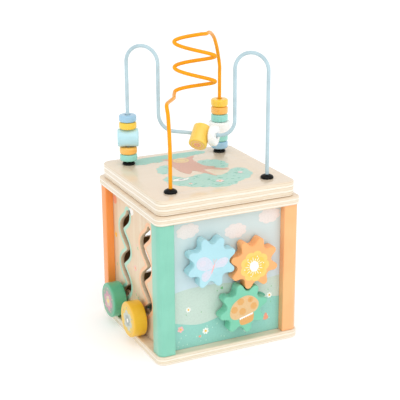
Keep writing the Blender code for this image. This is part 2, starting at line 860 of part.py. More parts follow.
def add_gear_panel():
    holes = []
    for x, z, _tooth in gear_places().values():
        holes.append(circle(BORE_RADIUS, from_wall_middle(x, z), 16))
    add_panel("gear_panel", "-Y", holes, "sky")


# ---------------------------------------------------------------- slide tracks


def track_swing(height):
    """How far a track's middle line is from its own axis, towards +Y, at a height."""
    return TRACK_SWING * cos(pi * (height - TRACK_LOW) / TRACK_HALF_WAVE)


def track_outline(centre):
    """The slot: a band of constant width along the wave, with round ends."""
    length = TRACK_HALF_WAVES * TRACK_HALF_WAVE
    half = TRACK_WIDTH / 2
    left = []
    right = []
    for step in range(TRACK_STEPS + 1):
        height = TRACK_LOW + length * step / TRACK_STEPS
        slope = -TRACK_SWING * pi / TRACK_HALF_WAVE * sin(pi * (height - TRACK_LOW) / TRACK_HALF_WAVE)
        normal = Vector((1, -slope)).normalized() * half
        middle = centre + track_swing(height)
        left.append((middle - normal.x, height - normal.y))
        right.append((middle + normal.x, height + normal.y))
    top = arc((centre + track_swing(TRACK_LOW + length), TRACK_LOW + length), half, 0, 180, 6)[1:-1]
    bottom = arc((centre + track_swing(TRACK_LOW), TRACK_LOW), half, 180, 360, 6)[1:-1]
    seen_from_inside = right + top + left[::-1] + bottom
    return [from_wall_middle(-along, height) for along, height in seen_from_inside]


def track_centres():
    return {
        "green": TRACK_OFF_CENTRE + TRACK_SPACING / 2,
        "yellow": TRACK_OFF_CENTRE - TRACK_SPACING / 2,
    }


def add_track_panel():
    holes = [track_outline(centre) for centre in track_centres().values()]
    add_panel("track_panel", "-X", holes, "plywood")


def knob_profile():
    radius = KNOB_RADIUS
    thick = KNOB_THICK
    eased = SHOULDER * KNOB_EDGE
    outer = [
        (0, thick),
        (radius - KNOB_EDGE, thick),
        (radius - eased, thick - eased),
        (radius, thick - KNOB_EDGE),
        (radius, KNOB_EDGE),
        (radius - eased, eased),
        (radius - KNOB_EDGE, 0),
    ]
    bore = [
        (BORE_RADIUS, 0),
        (BORE_RADIUS, POCKET_FLOOR),
        (POCKET_RADIUS, POCKET_FLOOR),
        (POCKET_RADIUS, POCKET_FLOOR + POCKET_DEPTH),
        (0, POCKET_FLOOR + POCKET_DEPTH),
    ]
    return outer + bore


def add_sliders():
    """Each slider is a pin with its retaining disc behind the panel, and a knob that turns on it.

    The pins rest towards the -Y side of their slots.
    """
    colours = {"green": "green", "yellow": "yellow"}
    for name, centre in track_centres().items():
        y = centre + track_swing(TRACK_LOW) - SLIDER_LEAN
        side = facing(-PANEL_FACE, y, TRACK_LOW, "-X")
        slider = add_empty(f"{name}_slider", (-PANEL_FACE, y, TRACK_LOW), case)
        pin = turned(
            f"{name}_slider_pin",
            rivet_profile(
                SLIDER_COLLAR_RADIUS, KNOB_STANDOFF - FIT_GAP, POCKET_FLOOR, PANEL_THICK, "plain"
            ),
            SMALL_ROUND_STEPS,
        )
        finish(pin, "plywood", side, slider)
        retainer = turned(
            f"{name}_slider_retainer",
            [
                (SHANK_RADIUS + FIT_GAP, -PANEL_THICK - FIT_GAP),
                (RETAINER_RADIUS, -PANEL_THICK - FIT_GAP),
                (RETAINER_RADIUS, -PANEL_THICK - FIT_GAP - RETAINER_THICK),
                (SHANK_RADIUS + FIT_GAP, -PANEL_THICK - FIT_GAP - RETAINER_THICK),
            ],
            16,
        )
        finish(retainer, "plywood", side, slider)
        knob = turned(f"{name}_knob", knob_profile(), ROUND_STEPS)
        finish(knob, colours[name], side @ Matrix.Translation((0, 0, KNOB_STANDOFF)), slider)


# ---------------------------------------------------------------- shape sorter


def sorter_shapes():
    """Outlines of the four blocks, each with the wall place of its hole."""
    half = BLOCK_SIDE / 2
    square = [(-half, -half), (half, -half), (half, half), (-half, half)]
    triangle = regular_polygon(3, TRIANGLE_RADIUS, pi / 2)
    hexagon = regular_polygon(6, HEXAGON_RADIUS, 0)
    return {
        "square": (square, (HOLE_COLUMN, UPPER_HOLE_ROW), "mint"),
        "round": (None, (-HOLE_COLUMN, UPPER_HOLE_ROW), "peach"),
        "triangle": (triangle, (HOLE_COLUMN, LOWER_HOLE_ROW), "yellow"),
        "hexagon": (hexagon, (-HOLE_COLUMN, LOWER_HOLE_ROW), "light_blue"),
    }


def grown(corners, extra):
    """The same convex outline with every side moved out."""
    count = len(corners)
    middle = sum((Vector(c) for c in corners), Vector((0, 0))) / count
    inner = ((Vector(corners[0]) + Vector(corners[1])) / 2 - middle).length
    factor = (inner + extra) / inner
    return [tuple(middle + (Vector(c) - middle) * factor) for c in corners]


def block_loop(corners, extra):
    if corners is None:
        return circle(ROUND_BLOCK_RADIUS + extra, steps=ROUND_STEPS)
    return rounded_polygon(grown(corners, extra), BLOCK_CORNER, 3)


def add_sorter_panel():
    holes = []
    for corners, at, _colour in sorter_shapes().values():
        holes.append(moved(block_loop(corners, BLOCK_SLACK), *from_wall_middle(*at)))
    add_panel("sorter_panel", "+Y", holes, "plywood")


def add_blocks():
    """The four sorting blocks, standing inside on the base."""
    for name, (corners, at, colour) in sorter_shapes().items():
        block = slab(f"{name}_block", [block_loop(corners, 0)], BLOCK_HEIGHT, EDGE_ROUND)
        x = -BLOCK_SPREAD if at[0] > 0 else BLOCK_SPREAD
        y = BLOCK_SPREAD if at[1] > LOWER_HOLE_ROW else -BLOCK_SPREAD
        finish(block, colour, upright(x, y, BASE_THICK + FIT_GAP + BLOCK_HEIGHT / 2), case)


# ---------------------------------------------------------------- learning clock


def hand_outline(length):
    """A hand that points up, with a round hub and a pointed tip."""
    hub = arc((0, 0), HAND_HUB_RADIUS, 150, 390, 12)
    tip_start = length - HAND_TIP_LENGTH
    tip = [
        (HAND_SHAFT_HALF_WIDTH, HAND_SHAFT_START),
        (HAND_SHAFT_HALF_WIDTH, tip_start),
        (HAND_TIP_HALF_WIDTH, tip_start),
        (0, length),
        (-HAND_TIP_HALF_WIDTH, tip_start),
        (-HAND_SHAFT_HALF_WIDTH, tip_start),
        (-HAND_SHAFT_HALF_WIDTH, HAND_SHAFT_START),
    ]
    return hub + tip


def add_clock():
    wall = facing(PANEL_FACE, 0, CLOCK_HEIGHT, "+X")
    hands = [
        ("hour_hand", HOUR_HAND_LENGTH, "peach", radians(-60)),
        ("minute_hand", MINUTE_HAND_LENGTH, "mint", 0.0),
    ]
    depth = 2 * FIT_GAP
    for name, length, colour, turn in hands:
        loops = [hand_outline(length), circle(HAND_BORE, steps=14)]
        hand = slab(name, loops, HAND_THICK, HAND_EDGE)
        centre = Matrix.Translation((0, 0, depth + HAND_THICK / 2)) @ Matrix.Rotation(turn, 4, "Z")
        finish(hand, colour, wall @ centre, case)
        depth += HAND_THICK + 2 * FIT_GAP
    front = depth
    back = -PANEL_THICK - FIT_GAP
    dome_radius, dome_height = CLOCK_HEAD_DOME
    profile = [
        (0, front + CLOCK_HEAD_THICK),
        (dome_radius, front + dome_height),
        (CLOCK_HEAD_RADIUS, front + CLOCK_HEAD_EDGE),
        (CLOCK_HEAD_RADIUS, front),
        (CLOCK_SHANK, front),
        (CLOCK_SHANK, back),
        (HEAD_RADIUS, back),
        (HEAD_RADIUS, back - HEAD_THICK),
        (0, back - HEAD_THICK),
    ]
    rivet = turned("clock_rivet", profile, SMALL_ROUND_STEPS)
    finish(rivet, "steel", wall, case)


def add_clock_panel():
    hole = circle(HAND_BORE, from_wall_middle(0, CLOCK_HEIGHT), 14)
    add_panel("clock_panel", "+X", [hole], "plywood")


# ---------------------------------------------------------------- build

clear_scene()
parts = make_collection(OBJECT_NAME)
cutters = make_collection("cutters")
cutters.hide_render = True
case = add_empty("case", (0, 0, 0))
lid = add_empty("lid", (0, 0, LID_BOTTOM), case)

add_base()
add_posts()
add_screws()
add_gear_panel()
add_track_panel()
add_sorter_panel()
add_clock_panel()
add_rim()
add_lid()
add_wire_caps()
add_wires()
add_back_right_stack()
add_back_left_stack()
add_valley_beads()
add_gears()
add_sliders()
add_blocks()
add_clock()
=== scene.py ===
"""The looks of a wooden activity cube with a shape sorter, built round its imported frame.

Metres, +Z up. -Y is the gear side, -X the slide-track side, +Y the sorter side and
+X the clock side. Artwork is drawn in millimetres on each wall and printed as thin
layers of ink.
"""

import json
import random
from math import atan2, cos, pi, radians, sin, sqrt, tanh

import bmesh
import bpy
from mathutils import Matrix, Vector


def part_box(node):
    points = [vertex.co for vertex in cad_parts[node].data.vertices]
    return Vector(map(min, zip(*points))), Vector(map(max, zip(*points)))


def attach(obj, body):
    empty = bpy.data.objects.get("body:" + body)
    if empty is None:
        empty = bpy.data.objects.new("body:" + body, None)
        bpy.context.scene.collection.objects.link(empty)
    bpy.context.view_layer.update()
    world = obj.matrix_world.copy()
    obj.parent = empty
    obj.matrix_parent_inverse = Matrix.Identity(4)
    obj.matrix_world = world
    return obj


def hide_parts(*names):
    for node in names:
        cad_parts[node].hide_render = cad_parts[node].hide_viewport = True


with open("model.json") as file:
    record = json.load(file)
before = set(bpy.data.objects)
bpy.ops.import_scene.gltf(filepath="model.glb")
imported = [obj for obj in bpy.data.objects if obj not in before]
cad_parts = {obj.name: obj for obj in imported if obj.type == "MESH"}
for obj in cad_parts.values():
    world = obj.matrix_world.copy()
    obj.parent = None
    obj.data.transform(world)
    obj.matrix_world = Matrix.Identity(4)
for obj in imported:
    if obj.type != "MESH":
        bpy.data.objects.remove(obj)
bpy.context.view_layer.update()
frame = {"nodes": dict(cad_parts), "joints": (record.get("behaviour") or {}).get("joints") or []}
joints = {joint["name"]: joint for joint in frame["joints"]}

MM = 0.001

# Camera, fitted to the photograph
CAMERA_AT = (-0.5807, -1.2186, 0.6332)
CAMERA_AZIMUTH = radians(-25.67)
CAMERA_ELEVATION = radians(18.76)
CAMERA_ROLL = radians(-0.24)
LENS = 97.9
SENSOR = 36.0

# Sizes read off the frame
BASE_LOW, BASE_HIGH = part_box("base_plate")
RIM_LOW, RIM_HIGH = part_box("rim_frame")
LID_LOW, LID_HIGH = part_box("lid_board")
LOCATOR_LOW, LOCATOR_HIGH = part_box("lid_locator")
PANEL_FACE = -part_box("gear_panel")[0].y
PANEL_BACK = -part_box("gear_panel")[1].y
POST_IN = -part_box("front_left_post")[1].x
WALL_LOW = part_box("gear_panel")[0].z
WALL_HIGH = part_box("gear_panel")[1].z
WIRE_CORNER = (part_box("back_right_wire_cap")[0].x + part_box("back_right_wire_cap")[1].x) / 2
CAP_LOW, CAP_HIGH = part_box("back_right_wire_cap")

# Shapes that the frame's boxes do not tell
BOARD_SIDE = 0.2
BOARD_EDGE = 0.0014
LID_EDGE = 0.0018
PLATE_CORNER = 0.010
LID_CORNER = 0.012
RIM_OPENING = 0.160
SCREW_HOLE = 0.0045
SCREW_SHANK = 0.0018
RECESS_ARM = 0.0024
RECESS_HALF_WIDTH = 0.0006
RECESS_DEPTH = 0.002
POST_CORNER = 0.008
POST_EASE = 0.0012
POST_END_EASE = 0.0003
GROOVE_DEPTH = 0.005
GROOVE_SLACK = 0.0002
WIRE_RADIUS = 0.0024
WIRE_FOOT = LID_LOW.z + 0.004
SOCKET_RADIUS = 0.0028
HUMP_RADIUS = 0.0217
HUMP_SPRING = 0.3525
VALLEY_HEIGHT = 0.2653
VALLEY_RADIUS = 0.0213
COIL_CENTRE = (-0.0003, 0.0027)
COIL_HALF_LENGTH = 0.0265
COIL_HALF_WIDTH = 0.0069
COIL_TURN = radians(-38.6)
COIL_PITCH = 0.0324
COIL_LOW_HEIGHT = 0.3175
COIL_LOW_ANGLE = 5 * pi
COIL_HIGH_ANGLE = 1.3
COIL_STEPS = 150
ORANGE_RISE_END = 0.270
ORANGE_WAY_IN = (
    (-0.0682, -0.0676, 0.2920),
    (-0.0695, -0.0680, 0.3120),
    (-0.0680, -0.0610, 0.3225),
    (-0.0570, -0.0420, 0.3212),
    (-0.0430, -0.0215, 0.3188),
    (-0.0340, -0.0070, 0.3168),
    (-0.0266, 0.0085, 0.3165),
)
ORANGE_WAY_OUT = (
    (0.0185, 0.0075, 0.3910),
    (0.0290, 0.0220, 0.3895),
    (0.0400, 0.0375, 0.3850),
    (0.0500, 0.0490, 0.3765),
    (0.0575, 0.0570, 0.3640),
    (0.0630, 0.0630, 0.3500),
)
ORANGE_FALL = (0.335, 0.325)
BEAD_BORE = 0.0037
BEAD_EASE = 0.0006
RING_BEAD_THICK = 0.0092
BARREL_RADIUS = 0.012
BARREL_LENGTH = 0.0275
BARREL_EDGE = 0.0016
BARREL_OFF_CENTRE = 0.003
VALLEY_BARREL_DIP = radians(40)
STACK_BARREL_TURN = radians(-23)
GEAR_EDGE = 0.0016
GEAR_TEETH = 8
GEAR_MEAN_RADIUS = 0.02965
GEAR_TOOTH_HALF_DEPTH = 0.0049
GEAR_TOOTH_SHARPNESS = 1.1
GEAR_TOOTH_THINNING = 0.15
MAIN_GEAR_TOOTH = radians(163.6)
UPPER_GEAR_DIRECTION = radians(168.9)
UPPER_GEAR_BACKLASH = radians(3)
LOWER_GEAR_DIRECTION = radians(256.2)
TRACK_SPACING = 0.069
TRACK_OFF_CENTRE = 0.002
TRACK_SWING = 0.0115
TRACK_LOW = 0.0350
TRACK_HALF_WAVE = 0.025
TRACK_HALF_WAVES = 5
TRACK_WIDTH = 0.012
TRACK_EDGE = 0.0004
TRACK_OUTLINE = 0.0050
TRACK_OUTLINE_GAP = 0.0005
KNOB_EDGE = 0.0018
KNOB_BORE_RADIUS = 0.0031
KNOB_BORE_DEPTH = 0.004
KNOB_CHAMBER_RADIUS = 0.0048
KNOB_CHAMBER_DEPTH = 0.007
BLOCK_SIDE = 0.035
BLOCK_EDGE = 0.0014
BLOCK_CORNER = 0.003
BLOCK_SLACK = 0.0015
ROUND_RADIUS = 0.0185
TRIANGLE_RADIUS = 0.0245
HEXAGON_RADIUS = 0.0205
HOLE_EDGE = 0.0005
HOLE_OUTLINE = 0.0062
HOLE_OUTLINE_GAP = 0.0006
HOLE_COLUMN = 0.036
UPPER_HOLE_ROW = 0.121
LOWER_HOLE_ROW = 0.062
HAND_LENGTHS = {"hour_hand": 0.030, "minute_hand": 0.044}
HAND_HUB = 0.0072
HAND_BORE = 0.0026
HAND_SHAFT = 0.0032
HAND_BARB = 0.0068
HAND_TIP = 0.012
HAND_EDGE = 0.0006
CLOCK_HEIGHT = joints["hour_hand_turn"]["pos_m"][2]
ALONG_BLUE_WIRE = Matrix.Rotation(radians(-45), 4, "Z") @ Matrix.Rotation(radians(90), 4, "Y")
INK = 0.00009
SHARP = 32
WELD = 0.000004


def srgb(red, green, blue):
    """A display colour, 0 to 255, as linear light."""
    shares = [value / 255 for value in (red, green, blue)]
    return tuple(s / 12.92 if s <= 0.04045 else ((s + 0.055) / 1.055) ** 2.4 for s in shares)


# ---------------------------------------------------------------- materials


class Graph:
    """A small helper round one material's node tree."""

    def __init__(self, name):
        self.material = bpy.data.materials.new(name)
        self.material.use_nodes = True
        self.nodes = self.material.node_tree.nodes
        self.links = self.material.node_tree.links
        self.shader = self.nodes["Principled BSDF"]

    def put(self, socket, value):
        if isinstance(value, bpy.types.NodeSocket):
            self.links.new(value, socket)
        elif isinstance(value, tuple) and len(value) == 3 and socket.type == "RGBA":
            socket.default_value = (*value, 1.0)
        else:
            socket.default_value = value

    def set(self, **values):
        for name, value in values.items():
            self.put(self.shader.inputs[name.replace("_", " ")], value)

    def place(self, stretch=(1, 1, 1), shift=(0, 0, 0)):
        """Object coordinates in metres, scaled so that one unit is one feature."""
        coordinate = self.nodes.new("ShaderNodeTexCoord")
        mapping = self.nodes.new("ShaderNodeMapping")
        mapping.inputs["Scale"].default_value = stretch
        mapping.inputs["Location"].default_value = shift
        self.links.new(coordinate.outputs["Object"], mapping.inputs["Vector"])
        return mapping.outputs["Vector"]

    def noise(self, stretch, detail=4.0, roughness=0.5, distortion=0.0, shift=(0, 0, 0)):
        node = self.nodes.new("ShaderNodeTexNoise")
        self.put(node.inputs["Vector"], self.place(stretch, shift))
        node.inputs["Scale"].default_value = 1.0
        node.inputs["Detail"].default_value = detail
        node.inputs["Roughness"].default_value = roughness
        node.inputs["Distortion"].default_value = distortion
        return node.outputs["Fac"]

    def math(self, operation, first, second=0.0):
        node = self.nodes.new("ShaderNodeMath")
        node.operation = operation
        self.put(node.inputs[0], first)
        self.put(node.inputs[1], second)
        return node.outputs[0]

    def span(self, value, low, high, to_low=0.0, to_high=1.0):
        node = self.nodes.new("ShaderNodeMapRange")
        node.interpolation_type = "SMOOTHSTEP"
        self.put(node.inputs["Value"], value)
        node.inputs["From Min"].default_value = low
        node.inputs["From Max"].default_value = high
        node.inputs["To Min"].default_value = to_low
        node.inputs["To Max"].default_value = to_high
        return node.outputs["Result"]

    def mix(self, factor, first, second):
        node = self.nodes.new("ShaderNodeMix")
        node.data_type = "RGBA"
        self.put(node.inputs[0], factor)
        self.put(node.inputs[6], first)
        self.put(node.inputs[7], second)
        return node.outputs[2]

    def bump(self, height, distance, strength=1.0):
        node = self.nodes.new("ShaderNodeBump")
        node.inputs["Distance"].default_value = distance
        node.inputs["Strength"].default_value = strength
        self.put(node.inputs["Height"], height)
        return node.outputs["Normal"]

    def part(self, vector, index):
        split = self.nodes.new("ShaderNodeSeparateXYZ")
        self.put(split.inputs[0], vector)
        return split.outputs[index]

    def axis(self, index):
        """One object coordinate, in metres."""
        return self.part(self.place(), index)

    def normal(self, index):
        """One share of the way that the surface looks."""
        return self.part(self.nodes.new("ShaderNodeNewGeometry").outputs["Normal"], index)

    def inward(self, wall):
        """1 on the face of a wall that looks into the cube, 0 elsewhere."""
        toward = self.math("MULTIPLY", self.normal("XY".index(wall[1])), -1.0 if wall[0] == "+" else 1.0)
        return self.span(toward, 0.6, 0.8)

    def upward(self):
        """1 on faces that look up or down, 0 on upright ones."""
        return self.span(self.math("ABSOLUTE", self.normal(2)), 0.55, 0.8)


def grain_stretch(along, fine, long):
    """Noise scale, per metre, across the grain and along it."""
    stretch = [fine, fine, fine]
    stretch["XYZ".index(along)] = long
    return tuple(stretch)


def veneer_colour(graph, along, tones, contrast=1.0):
    """Lacquered birch: broad growth figure, finer lines and short pores."""
    light, middle, dark = tones
    broad = graph.span(graph.noise(grain_stretch(along, 95, 5), 5.0, 0.55, 0.6), 0.38, 0.66)
    lines = graph.noise(grain_stretch(along, 520, 9), 3.0, 0.6, 0.2)
    pores = graph.noise(grain_stretch(along, 1900, 95), 2.0, 0.5)
    colour = graph.mix(graph.math("MULTIPLY", broad, min(1.0, contrast)), light, middle)
    figure = graph.math("MULTIPLY", graph.span(lines, 0.52, 0.74), 0.55 * contrast)
    colour = graph.mix(figure, colour, dark)
    specks = graph.math("MULTIPLY", graph.span(pores, 0.64, 0.74), 0.5 * contrast)
    return graph.mix(specks, colour, dark), pores


BIRCH = (srgb(238, 220, 196), srgb(232, 210, 183), srgb(214, 184, 148))
# Raw wood for the faces that look into the cube, darker than bare birch: partly its own tone, partly painted
# shade.
RAW_WOOD_AND_SHADE = srgb(176, 132, 88)
CORE_LIGHT = srgb(245, 236, 220)
CORE_DARK = srgb(234, 220, 196)
GLUE_LINE = srgb(208, 180, 142)


def plywood(name, low, high, plies, gloss, along="X", contrast=1.0):
    """Birch plywood: veneer on the faces, and its plies and glue lines along the edges."""
    graph = Graph(name)
    face, pores = veneer_colour(graph, along, BIRCH, contrast)
    ply = (high - low) / plies
    waver = graph.noise((14, 14, 60), 2.0)
    height = graph.math("SUBTRACT", graph.axis(2), low)
    layer = graph.math("DIVIDE", height, ply)
    layer = graph.math("ADD", layer, graph.math("MULTIPLY", graph.math("SUBTRACT", waver, 0.5), 0.35))
    saw = graph.math("FRACT", layer)
    line = graph.math("ABSOLUTE", graph.math("SUBTRACT", saw, 0.5))
    glue = graph.span(line, 0.36, 0.47)
    every_other = graph.span(graph.math("FRACT", graph.math("MULTIPLY", layer, 0.5)), 0.46, 0.54)
    fibre = graph.noise((160, 160, 900), 3.0, 0.6)
    core = graph.mix(every_other, CORE_LIGHT, CORE_DARK)
    core = graph.mix(graph.math("MULTIPLY", graph.span(fibre, 0.5, 0.75), 0.35), core, srgb(214, 184, 140))
    broken = graph.span(graph.noise((45, 45, 500), 3.0), 0.35, 0.6, 0.3, 0.85)
    edge = graph.mix(graph.math("MULTIPLY", glue, broken), core, GLUE_LINE)
    graph.set(Base_Color=graph.mix(graph.upward(), edge, face))
    smudge = graph.noise((22, 22, 22), 3.0)
    graph.set(Roughness=graph.span(smudge, 0.3, 0.7, gloss, gloss + 0.10))
    graph.set(Normal=graph.bump(pores, 0.00006, 0.5), Coat_Weight=0.35, Coat_Roughness=0.12)
    return graph.material


def veneer(name, along, tones=BIRCH, contrast=1.0, gloss=0.38, wall=None):
    """Veneer; on a wall panel the face that looks into the cube is raw wood, darker partly by its own tone
    and partly by painted shade.
    """
    graph = Graph(name)
    colour, pores = veneer_colour(graph, along, tones, contrast)
    if wall:
        # The inward face gets the raw wood, darkened with painted shade.
        colour = graph.mix(graph.inward(wall), colour, RAW_WOOD_AND_SHADE)
    graph.set(Base_Color=colour, Roughness=gloss)
    graph.set(Normal=graph.bump(pores, 0.00005, 0.5), Coat_Weight=0.2, Coat_Roughness=0.2)
    return graph.material


def paint(name, colour, along="Z", gloss=0.34, coat=0.3, shift=0.0, grainy=0.28):
    """Satin toy paint: the wood's grain shows faintly through, and it is thinner in places."""
    graph = Graph(name)
    deep = tuple(value * 0.86 for value in colour)
    pale = tuple(min(1.0, value * 1.04 + 0.012) for value in colour)
    cloudy = graph.noise((34, 34, 34), 3.0, shift=(shift, 0, 0))
    grain = graph.noise(grain_stretch(along, 900, 42), 3.0, 0.55, shift=(shift, 0, 0))
    tone = graph.mix(graph.span(cloudy, 0.35, 0.7), colour, pale)
    tone = graph.mix(graph.math("MULTIPLY", graph.span(grain, 0.5, 0.78), grainy), tone, deep)
    scuff = graph.noise((260, 260, 260), 5.0, 0.7, shift=(0, shift, 0))
    worn = graph.math("MULTIPLY", graph.span(scuff, 0.73, 0.8), 0.35)
    graph.set(Base_Color=graph.mix(worn, tone, srgb(247, 238, 222)))
    graph.set(Roughness=graph.span(cloudy, 0.3, 0.7, gloss - 0.04, gloss + 0.06))
    graph.set(Normal=graph.bump(grain, 0.00005, 0.6), Coat_Weight=coat, Coat_Roughness=0.18)
    return graph.material


def ink_material(name, colour, gloss=0.42, coat=0.1):
    """Screen-printed ink with a little mottling."""
    graph = Graph(name)
    mottle = graph.noise((420, 420, 420), 4.0, 0.6)
    deep = tuple(value * 0.93 for value in colour)
    graph.set(Base_Color=graph.mix(graph.span(mottle, 0.4, 0.7), colour, deep))
    graph.set(Roughness=gloss, Coat_Weight=coat, Coat_Roughness=0.15)
    graph.set(Normal=graph.bump(mottle, 0.00001, 0.3))
    return graph.material


def sky_print(name, top, bottom):
    """The printed sky: paler low down, with a varnish over it."""
    graph = Graph(name)
    drift = graph.noise((9, 9, 14), 2.0)
    height = graph.math("ADD", graph.axis(2), graph.math("MULTIPLY", drift, 0.05))
    tone = graph.mix(graph.span(height, 0.07, 0.20), bottom, top)
    mottle = graph.noise((500, 500, 500), 3.0)
    front = graph.mix(graph.math("MULTIPLY", mottle, 0.08), tone, srgb(255, 255, 250))
    # The inward face gets the raw wood, darkened with painted shade.
    graph.set(Base_Color=graph.mix(graph.inward("-Y"), front, RAW_WOOD_AND_SHADE))
    graph.set(Roughness=0.4, Coat_Weight=0.2, Coat_Roughness=0.2)
    graph.set(Normal=graph.bump(mottle, 0.00001, 0.3))
    return graph.material


def coated_wire(name, colour):
    """Powder-coated steel wire: very glossy, with a slight orange peel."""
    graph = Graph(name)
    peel = graph.noise((700, 700, 700), 2.0)
    thin = graph.noise((60, 60, 60), 2.0)
    deep = tuple(value * 0.88 for value in colour)
    graph.set(Base_Color=graph.mix(graph.span(thin, 0.35, 0.7), colour, deep))
    graph.set(Roughness=0.34, Specular_IOR_Level=0.2, Coat_Weight=0.12, Coat_Roughness=0.06)
    graph.set(Normal=graph.bump(peel, 0.000004, 0.4))
    return graph.material


def moulded(name, colour):
    """Glossy moulded plastic."""
    graph = Graph(name)
    haze = graph.noise((300, 300, 300), 3.0)
    graph.set(Base_Color=graph.mix(graph.span(haze, 0.4, 0.8), colour, tuple(v + 0.004 for v in colour)))
    graph.set(Roughness=graph.span(haze, 0.3, 0.8, 0.1, 0.18), Specular_IOR_Level=0.12)
    graph.set(Normal=graph.bump(haze, 0.00002, 0.3))
    return graph.material


def steel(name):
    graph = Graph(name)
    brush = graph.noise((1500, 1500, 90), 3.0)
    graph.set(Base_Color=graph.mix(brush, srgb(176, 176, 180), srgb(212, 212, 214)), Metallic=1.0)
    graph.set(Roughness=graph.span(brush, 0.3, 0.7, 0.24, 0.4), Normal=graph.bump(brush, 0.00003, 0.4))
    return graph.material


def studio_floor(name):
    """A white table, lit a little from below."""
    graph = Graph(name)
    mottle = graph.noise((3, 3, 3), 3.0)
    graph.set(Base_Color=graph.mix(mottle, srgb(250, 250, 250), srgb(254, 254, 254)), Roughness=0.9)
    graph.set(Specular_IOR_Level=0.0, Emission_Color=(1.0, 1.0, 1.0), Emission_Strength=0.12)
    return graph.material


PAINTS = {
    "post_mint": (130, 202, 178),
    # The peach and orange post colours are one paint as lit and shaded copies: peach is its lit look, and
    # the deeper orange is painted shade.
    "post_peach": (252, 183, 122),
    "post_orange": (255, 152, 68),
    "gear_blue": (172, 218, 228),
    "gear_orange": (252, 174, 106),
    "gear_green": (118, 200, 168),
    "green": (86, 176, 136),
    "knob_yellow": (238, 186, 30),
    "mint": (148, 216, 203),
    "peach": (252, 186, 128),
    "yellow": (250, 204, 56),
    "light_blue": (156, 198, 223),
}

BEAD_LACQUERS = {
    "mint": (148, 216, 203),
    "orange": (255, 186, 80),
    "yellow": (250, 204, 56),
    "barrel": (249, 208, 88),
    "light_blue": (156, 198, 223),
    "aqua": (184, 226, 235),
    "white": (248, 246, 243),
}

INKS = {
    "cloud": (240, 232, 227),
    "hill": (200, 219, 207),
    "ground": (147, 209, 196),
    "white": (252, 250, 244),
    "butter": (255, 218, 112),
    "sun": (252, 200, 70),
    "pink": (250, 190, 188),
    "blush": (252, 222, 220),
    "coral": (244, 162, 130),
    "clover": (126, 196, 132),
    "leaf": (98, 178, 150),
    "fleck": (206, 240, 226),
    "mint": (160, 210, 195),
    "deep_mint": (120, 194, 174),
    "track_mint": (176, 224, 203),
    "track_peach": (250, 196, 152),
    "crown": (178, 220, 206),
    "knob_grey": (140, 168, 148),
    "knob_rose": (206, 150, 166),
    "knob_cream": (214, 200, 176),
    "knob_straw": (238, 202, 88),
    "knob_mist": (204, 208, 194),
    "knob_slate": (168, 178, 172),
    "bark": (226, 178, 158),
    "hollow": (244, 216, 160),
    "peach": (252, 190, 148),
    "spot": (214, 158, 92),
    "grey": (176, 184, 188),
    "sky": (190, 220, 236),
    "mist": (214, 220, 233),
    "haze": (221, 220, 232),
    "petal": (254, 208, 110),
    "petal_glow": (252, 204, 84),
    "cap": (228, 190, 138),
    "cap_spot": (226, 170, 98),
    "ink": (92, 108, 120),
}

materials = {name: paint("paint_" + name, srgb(*colour), shift=len(name)) for name, colour in PAINTS.items()}
for name, colour in BEAD_LACQUERS.items():
    materials["bead_" + name] = paint("lacquer_" + name, srgb(*colour), gloss=0.24, coat=0.5, shift=2.0)
inks = {name: ink_material("ink_" + name, srgb(*colour)) for name, colour in INKS.items()}
materials["base"] = plywood("birch_base", BASE_LOW.z, BASE_HIGH.z, 4, 0.34)
materials["rim"] = plywood("birch_rim", RIM_LOW.z, RIM_HIGH.z, 4, 0.34)
materials["lid"] = plywood("birch_lid", LID_LOW.z, LID_HIGH.z, 6, 0.16, contrast=0.3)
materials["locator"] = plywood("birch_locator", LOCATOR_LOW.z, LOCATOR_HIGH.z, 3, 0.45)
# Birch made darker and warmer for the slide-track wall and the slider pins: the wood's tone with painted
# shade and painted warm bounce light.
WARM_SHADED_BIRCH = (srgb(233, 212, 182), srgb(227, 200, 164), srgb(206, 166, 118))
materials["track_panel"] = veneer("birch_track_panel", "Y", WARM_SHADED_BIRCH, 0.8, wall="-X")
materials["sorter_panel"] = veneer("birch_sorter_panel", "Y", BIRCH, 0.9, wall="+Y")
materials["clock_panel"] = veneer("birch_clock_panel", "Z", BIRCH, 0.9, wall="+X")
materials["turned_birch"] = veneer("birch_turned", "X", WARM_SHADED_BIRCH, 1.0)
materials["sky"] = sky_print("printed_sky", srgb(205, 222, 222), srgb(200, 221, 230))
materials["orange_wire"] = coated_wire("coat_orange", srgb(250, 166, 0))
materials["blue_wire"] = coated_wire("coat_blue", srgb(190, 214, 222))
materials["black"] = moulded("plastic_black", (0.006, 0.006, 0.006))
materials["steel"] = steel("zinc_steel")


# ---------------------------------------------------------------- shapes


def dress(obj, material, body, replaced=()):
    """Gives a finished piece its material and its body, and hides the CAD nodes that it stands for."""
    obj.data.materials.clear()
    obj.data.materials.append(material)
    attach(obj, body)
    if replaced:
        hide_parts(*replaced)
    return obj


def add_object(name, data):
    obj = bpy.data.objects.new(name, data)
    bpy.context.scene.collection.objects.link(obj)
    return obj


def baked(name, data):
    """The mesh that a curve or text makes."""
    draft = add_object(name + "_draft", data)
    bpy.context.view_layer.update()
    mesh = bpy.data.meshes.new_from_object(draft.evaluated_get(bpy.context.evaluated_depsgraph_get()))
    bpy.data.objects.remove(draft, do_unlink=True)
    return mesh


def solid(name, mesh, world, draft=None, sharp=SHARP):
    """An object from a mesh or its edited draft: welded, faces outward, smooth up to an angle."""
    if draft is None:
        draft = bmesh.new()
        draft.from_mesh(mesh)
    bmesh.ops.remove_doubles(draft, verts=draft.verts, dist=WELD)
    bmesh.ops.recalc_face_normals(draft, faces=draft.faces)
    draft.to_mesh(mesh)
    draft.free()
    mesh.name = name
    mesh.shade_smooth()
    mesh.set_sharp_from_angle(angle=radians(sharp))
    obj = add_object(name, mesh)
    obj.matrix_world = world
    return obj


def signed_area(loop):
    ends = loop[1:] + loop[:1]
    return sum(x0 * y1 - x1 * y0 for (x0, y0), (x1, y1) in zip(loop, ends)) / 2


